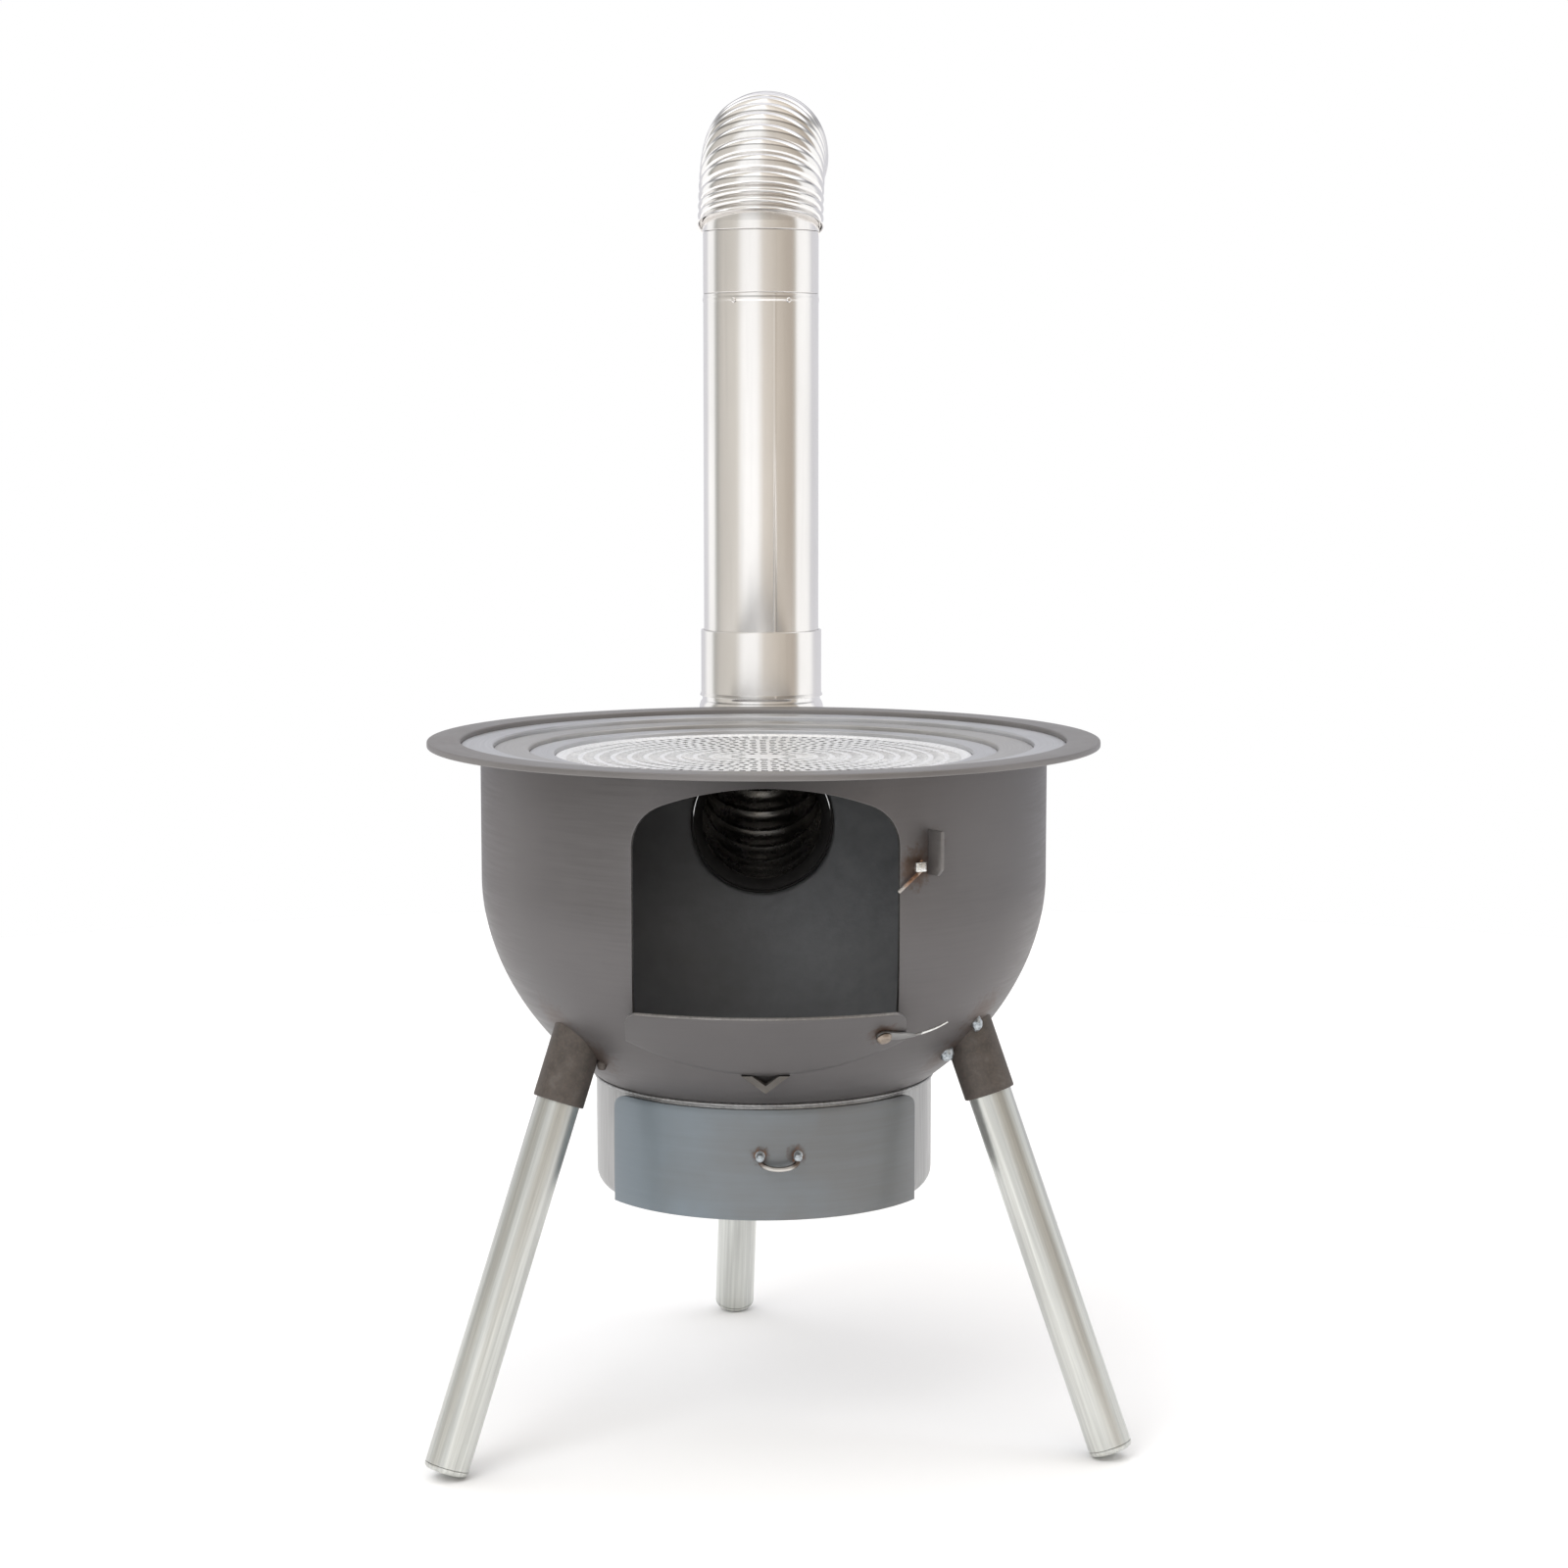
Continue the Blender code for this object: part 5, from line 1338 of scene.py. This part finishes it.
def make_catch():
    """A bolt with a square head and a wire hook on it, beside a thin upright lug."""
    place = turn_frame(CATCH_AZIMUTH, BOWL_RADIUS, CATCH_Z)
    head = square_mesh("head", (0.0042, 0.0034), CATCH_GRIP + GAP, CATCH_GRIP + 0.0034)
    shank = turned_mesh("shank", softened([(0.0, CATCH_GRIP + 0.0048), (BOLT_SHANK, CATCH_GRIP + 0.0048),
                                           (BOLT_SHANK, 0.0), (0.0, 0.0)], [0.0, 0.0005, 0.0, 0.0],
                                          closed=False), round_steps(32), closed=False)
    add_piece("catch_bolt_hex", joined("catch_bolt_hex", [head, shank]), "stove", ["catch_bolt"],
              [bolt_steel], place)
    eye = BOLT_SHANK + WIRE_RADIUS + GAP * 2.0
    leave = CATCH_AIM + math.radians(88.0)
    points = [(eye * math.cos(angle), eye * math.sin(angle), 0.0)
              for angle in span(leave + math.radians(95.0), leave, 10)]
    root = Vector(points[-1])
    end = (CATCH_REACH + 0.0012) * Vector((math.cos(CATCH_AIM), math.sin(CATCH_AIM), 0.0))
    points += [root.lerp(end, share) for share in (0.25, 0.5, 0.75, 1.0)]
    hook = wire_mesh("hook", smooth_path(points, 5), WIRE_RADIUS, 18)
    add_piece("catch_hook_wire", hook, "catch_hook", ["catch_hook"], [wire_rust],
              place @ Matrix.Translation((0.0, 0.0, GAP + CATCH_GRIP / 2.0)))

    foot = BOWL_RADIUS
    outline = [(foot, LUG_BOTTOM), (foot + LUG_DEPTH - LUG_CHAMFER, LUG_BOTTOM),
               (foot + LUG_DEPTH, LUG_BOTTOM + LUG_CHAMFER), (foot + LUG_DEPTH, LUG_TOP), (foot, LUG_TOP)]
    outline = softened(outline, [0.0, 0.002, 0.002, 0.0008, 0.0])
    bm = bmesh.new()
    face = bm.faces.new([bm.verts.new((a, 0.0, b)) for a, b in outline])
    if face.normal.y > 0.0:
        face.normal_flip()
    lug = settled(mesh_from(bm, "lug"), LUG_SHEET, edge=0.0004, limit=70.0)
    place = Matrix.Rotation(LUG_AZIMUTH, 4, "Z") @ Matrix.Translation((0.0, -LUG_SHEET / 2.0, 0.0))
    add_piece("catch_lug_plate", lug, "stove", ["catch_lug"], [rim_steel], place)


def make_lever():
    """A flat leaf that tapers into a bright wire tail, turning on a bolt through the sill."""
    slope = math.atan(SILL_SLOPE)
    radius = SILL_TOP_RADIUS - SILL_SLOPE * (SILL_TOP - LEVER_Z)
    place = turn_frame(LEVER_AZIMUTH, radius + GAP, LEVER_Z, slope)
    thick = LEVER_SHEET
    outline = [(0.0, thick + 0.0042), (BOLT_HEAD * 0.75, thick + 0.0038), (BOLT_HEAD, thick + 0.0016),
               (BOLT_HEAD, thick + GAP * 2.0), (BOLT_SHANK, thick + GAP * 2.0), (BOLT_SHANK, 0.0),
               (0.0, 0.0)]
    turned_piece("lever_bolt_domed", outline, [0.0, 0.002, 0.001, 0.0004, 0.0, 0.0, 0.0],
                 ("stove", "lever_bolt"), tarnished_steel, place, 48, closed=False)

    length = LEVER_LENGTH
    outline = [(LEVER_ROOT * math.cos(a), LEVER_ROOT * math.sin(a))
               for a in span(math.radians(60.0), math.radians(300.0), 24)]
    count = len(outline)
    outline += [(length * 0.55, -0.0046), (length, -0.0006), (length, 0.0012), (length * 0.5, 0.0032)]
    outline = softened(outline, [0.0] * count + [0.01, 0.0006, 0.0006, 0.01], 6)
    bm = bmesh.new()
    first = math.atan2(outline[0][1], outline[0][0])
    outer = [((math.atan2(y, x) - first) % (2.0 * math.pi), bm.verts.new((x, y, thick)))
             for x, y in outline]
    outer.sort(key=lambda item: item[0])
    hole = BOLT_SHANK + LEVER_PLAY
    inner = [(a, bm.verts.new((hole * math.cos(a + first), hole * math.sin(a + first), thick)))
             for a in round_steps(40, 0.0)]
    zip_loops(bm, outer, inner)
    face_up(bm)
    leaf = settled(mesh_from(bm, "leaf"), thick, edge=0.0003, limit=60.0)
    path = smooth_path([(length - 0.007, 0.0001, thick / 2.0), (length, 0.0006, thick / 2.0),
                        (length + 0.006, 0.0052, 0.0016), (length + 0.011, 0.0118, 0.0026),
                        (length + 0.0148, 0.0200, 0.0036)], 8)
    radii = [0.0011 - 0.0004 * i / len(path) for i in range(len(path))]
    tail = wire_mesh("tail", path, radii, 16)
    droop = Matrix.Rotation(LEVER_DROOP, 4, "Z")
    lever = joined("lever_leaf", [leaf, tail])
    lever.materials.append(lever_steel)
    lever.materials.append(bolt_steel)
    for polygon in lever.polygons:
        polygon.material_index = 1 if polygon.center.x > length + 0.003 else 0
    add_piece("lever_leaf", lever, "lever", ["lever"],
              [lever_steel, bolt_steel], place @ droop)


def make_bracket():
    """An angle-iron stub under the sill, open side up, ending on the bowl."""
    low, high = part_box("sill_bracket")
    half, deep, across = (high.x - low.x) / 2.0, 0.0128, 0.0080
    top = SILL_MIDDLE_BOTTOM - GAP
    front = low.y - AXIS.y + 0.001
    rows = []
    for t in span(-1.0, 1.0, 24):
        outer = Vector((t * half, top - deep * (1.0 - abs(t))))
        inner = Vector((t * (half - across), top - deep * (1.0 - abs(t)) * (half - across) / half))
        loop = []
        for share in (0.0, 0.08, 0.5, 0.92, 1.0):
            x, z = outer.lerp(inner, share)
            loop.append((x, front + (0.0 if 0.0 < share < 1.0 else 0.0005), z))
        for share in (1.0, 0.5, 0.0):
            x, z = outer.lerp(inner, share)
            loop.append((x, -math.sqrt((dome_radius(z) + GAP) ** 2 - x ** 2), z))
        rows.append(loop)
    for end in (0, -1):
        centre = sum((Vector(point) for point in rows[end]), Vector()) / len(rows[end])
        cap = [tuple(centre)] * len(rows[end])
        rows = [cap] + rows if end == 0 else rows + [cap]
    stub = mesh_from_grid("bracket", rows, wrap=True, recalc=True)
    add_piece("bracket_angle", stub, "stove", ["sill_bracket"], [bracket_steel], sharp=35.0)


# ---------------------------------------------------------------- stage
def make_floor():
    bm = bmesh.new()
    bmesh.ops.create_circle(bm, cap_ends=True, segments=96, radius=2.4)
    floor = linked("studio_floor", mesh_from(bm, "studio_floor"))
    paper = bpy.data.materials.new("studio_paper")
    paper.use_nodes = True
    shader = paper.node_tree.nodes["Principled BSDF"]
    shader.inputs["Base Color"].default_value = (0.86, 0.86, 0.86, 1.0)
    shader.inputs["Roughness"].default_value = 0.9
    shader.inputs["Specular IOR Level"].default_value = 0.1
    floor.data.materials.append(paper)


def make_light(name, place, aim, size, power):
    lamp = bpy.data.lights.new(name, "AREA")
    lamp.shape = "RECTANGLE"
    lamp.size = size
    lamp.size_y = size
    lamp.energy = power
    light = linked(name, lamp)
    light.location = place
    light.rotation_mode = "QUATERNION"
    light.rotation_quaternion = (Vector(aim) - Vector(place)).to_track_quat("-Z", "Y")
    light.visible_glossy = False


def make_sun():
    """A very soft overhead light that keeps the whole floor evenly white."""
    lamp = bpy.data.lights.new("overhead", "SUN")
    lamp.energy = 1.6
    lamp.angle = math.radians(110.0)
    light = linked("overhead", lamp)
    light.location = (0.0, 0.0, 3.0)
    light.rotation_euler = (math.radians(10.0), math.radians(-4.0), 0.0)
    light.visible_glossy = False


# Tall panels round the stove: the bearing of each from the front, to the right, in degrees,
# and its colour. Polished steel shows them as upright bands.
LAVENDER = (0.74, 0.74, 0.78)
WHITE = (1.12, 1.12, 1.12)
SAND = (0.62, 0.56, 0.49)
PANELS = ((-180.0, LAVENDER), (-138.0, LAVENDER), (-127.0, WHITE), (-110.0, WHITE),
          (-101.0, (0.38, 0.38, 0.36)), (-88.0, (0.64, 0.61, 0.57)), (-50.0, (0.72, 0.69, 0.64)),
          (-36.0, WHITE), (-8.0, WHITE), (5.0, (0.76, 0.71, 0.65)), (40.0, SAND),
          (64.0, (0.50, 0.44, 0.38)), (71.0, (0.52, 0.48, 0.43)), (77.0, WHITE), (108.0, WHITE),
          (122.0, LAVENDER), (180.0, LAVENDER))
# The sine of the height above the horizon, and how bright the panels are there.
HEIGHTS = ((0.0, 1.0), (0.34, 1.0), (0.44, 0.42), (0.54, 0.42), (0.62, 1.0), (0.70, 1.45), (1.0, 1.2))


def make_world():
    """Panels of light that only reflections and shading see; the camera sees plain white."""
    world = bpy.data.worlds.new("studio")
    bpy.context.scene.world = world
    world.use_nodes = True
    tree = world.node_tree
    sky = add_node(tree, "ShaderNodeTexCoord").outputs["Generated"]
    parts = add_node(tree, "ShaderNodeSeparateXYZ", [(0, sky)]).outputs
    flipped = add_node(tree, "ShaderNodeMath", [(0, parts[1]), (1, -1.0)], operation="MULTIPLY")
    inputs = [(0, parts[0]), (1, flipped.outputs[0])]
    bearing = add_node(tree, "ShaderNodeMath", inputs, operation="ARCTAN2")
    inputs = [(1, -math.pi), (2, math.pi), (0, bearing.outputs[0])]
    share = add_node(tree, "ShaderNodeMapRange", inputs)
    bands = add_node(tree, "ShaderNodeMix", data_type="RGBA", blend_type="MULTIPLY")
    bands.inputs[0].default_value = 1.0
    around = [((degrees + 180.0) / 360.0, colour) for degrees, colour in PANELS]
    upward = [(height, (level, level, level)) for height, level in HEIGHTS]
    for socket, source, stops in ((6, share.outputs[0], around), (7, parts[2], upward)):
        tones = add_node(tree, "ShaderNodeValToRGB", [(0, source)])
        ramp = tones.color_ramp
        while len(ramp.elements) > 1:
            ramp.elements.remove(ramp.elements[-1])
        for i, (spot, colour) in enumerate(stops):
            stop = ramp.elements[0] if i == 0 else ramp.elements.new(spot)
            stop.position = spot
            stop.color = (*colour, 1.0)
        tree.links.new(tones.outputs[0], bands.inputs[socket])
    seen = add_node(tree, "ShaderNodeLightPath").outputs["Is Camera Ray"]
    inputs = [(0, seen), (6, bands.outputs[2]), (7, (1.0, 1.0, 1.0, 1.0))]
    plain = add_node(tree, "ShaderNodeMix", inputs, data_type="RGBA")
    background = tree.nodes["Background"]
    tree.links.new(plain.outputs[2], background.inputs["Color"])
    background.inputs["Strength"].default_value = 1.0


def make_camera():
    data = bpy.data.cameras.new("camera")
    data.lens = 73.53
    data.sensor_width = 36.0
    camera = linked("camera", data)
    camera.location = (-0.0244, -2.4441, 0.758)
    camera.rotation_euler = (math.radians(90.0 - 6.66), 0.0, -0.0131)
    bpy.context.scene.camera = camera


make_bowl()
make_sill()
make_bracket()
make_rings()
make_grill()
make_grate()
make_drum()
make_drawer_front()
make_tray()
make_handle()
make_tripod()
make_weld_tacks()
make_flue()
make_catch()
make_lever()

make_floor()
make_sun()
make_light("key", (-1.3, -2.2, 2.3), (0.0, 0.0, 0.45), 1.5, 27.0)
make_world()
make_camera()
bpy.context.scene.view_settings.view_transform = "Standard"
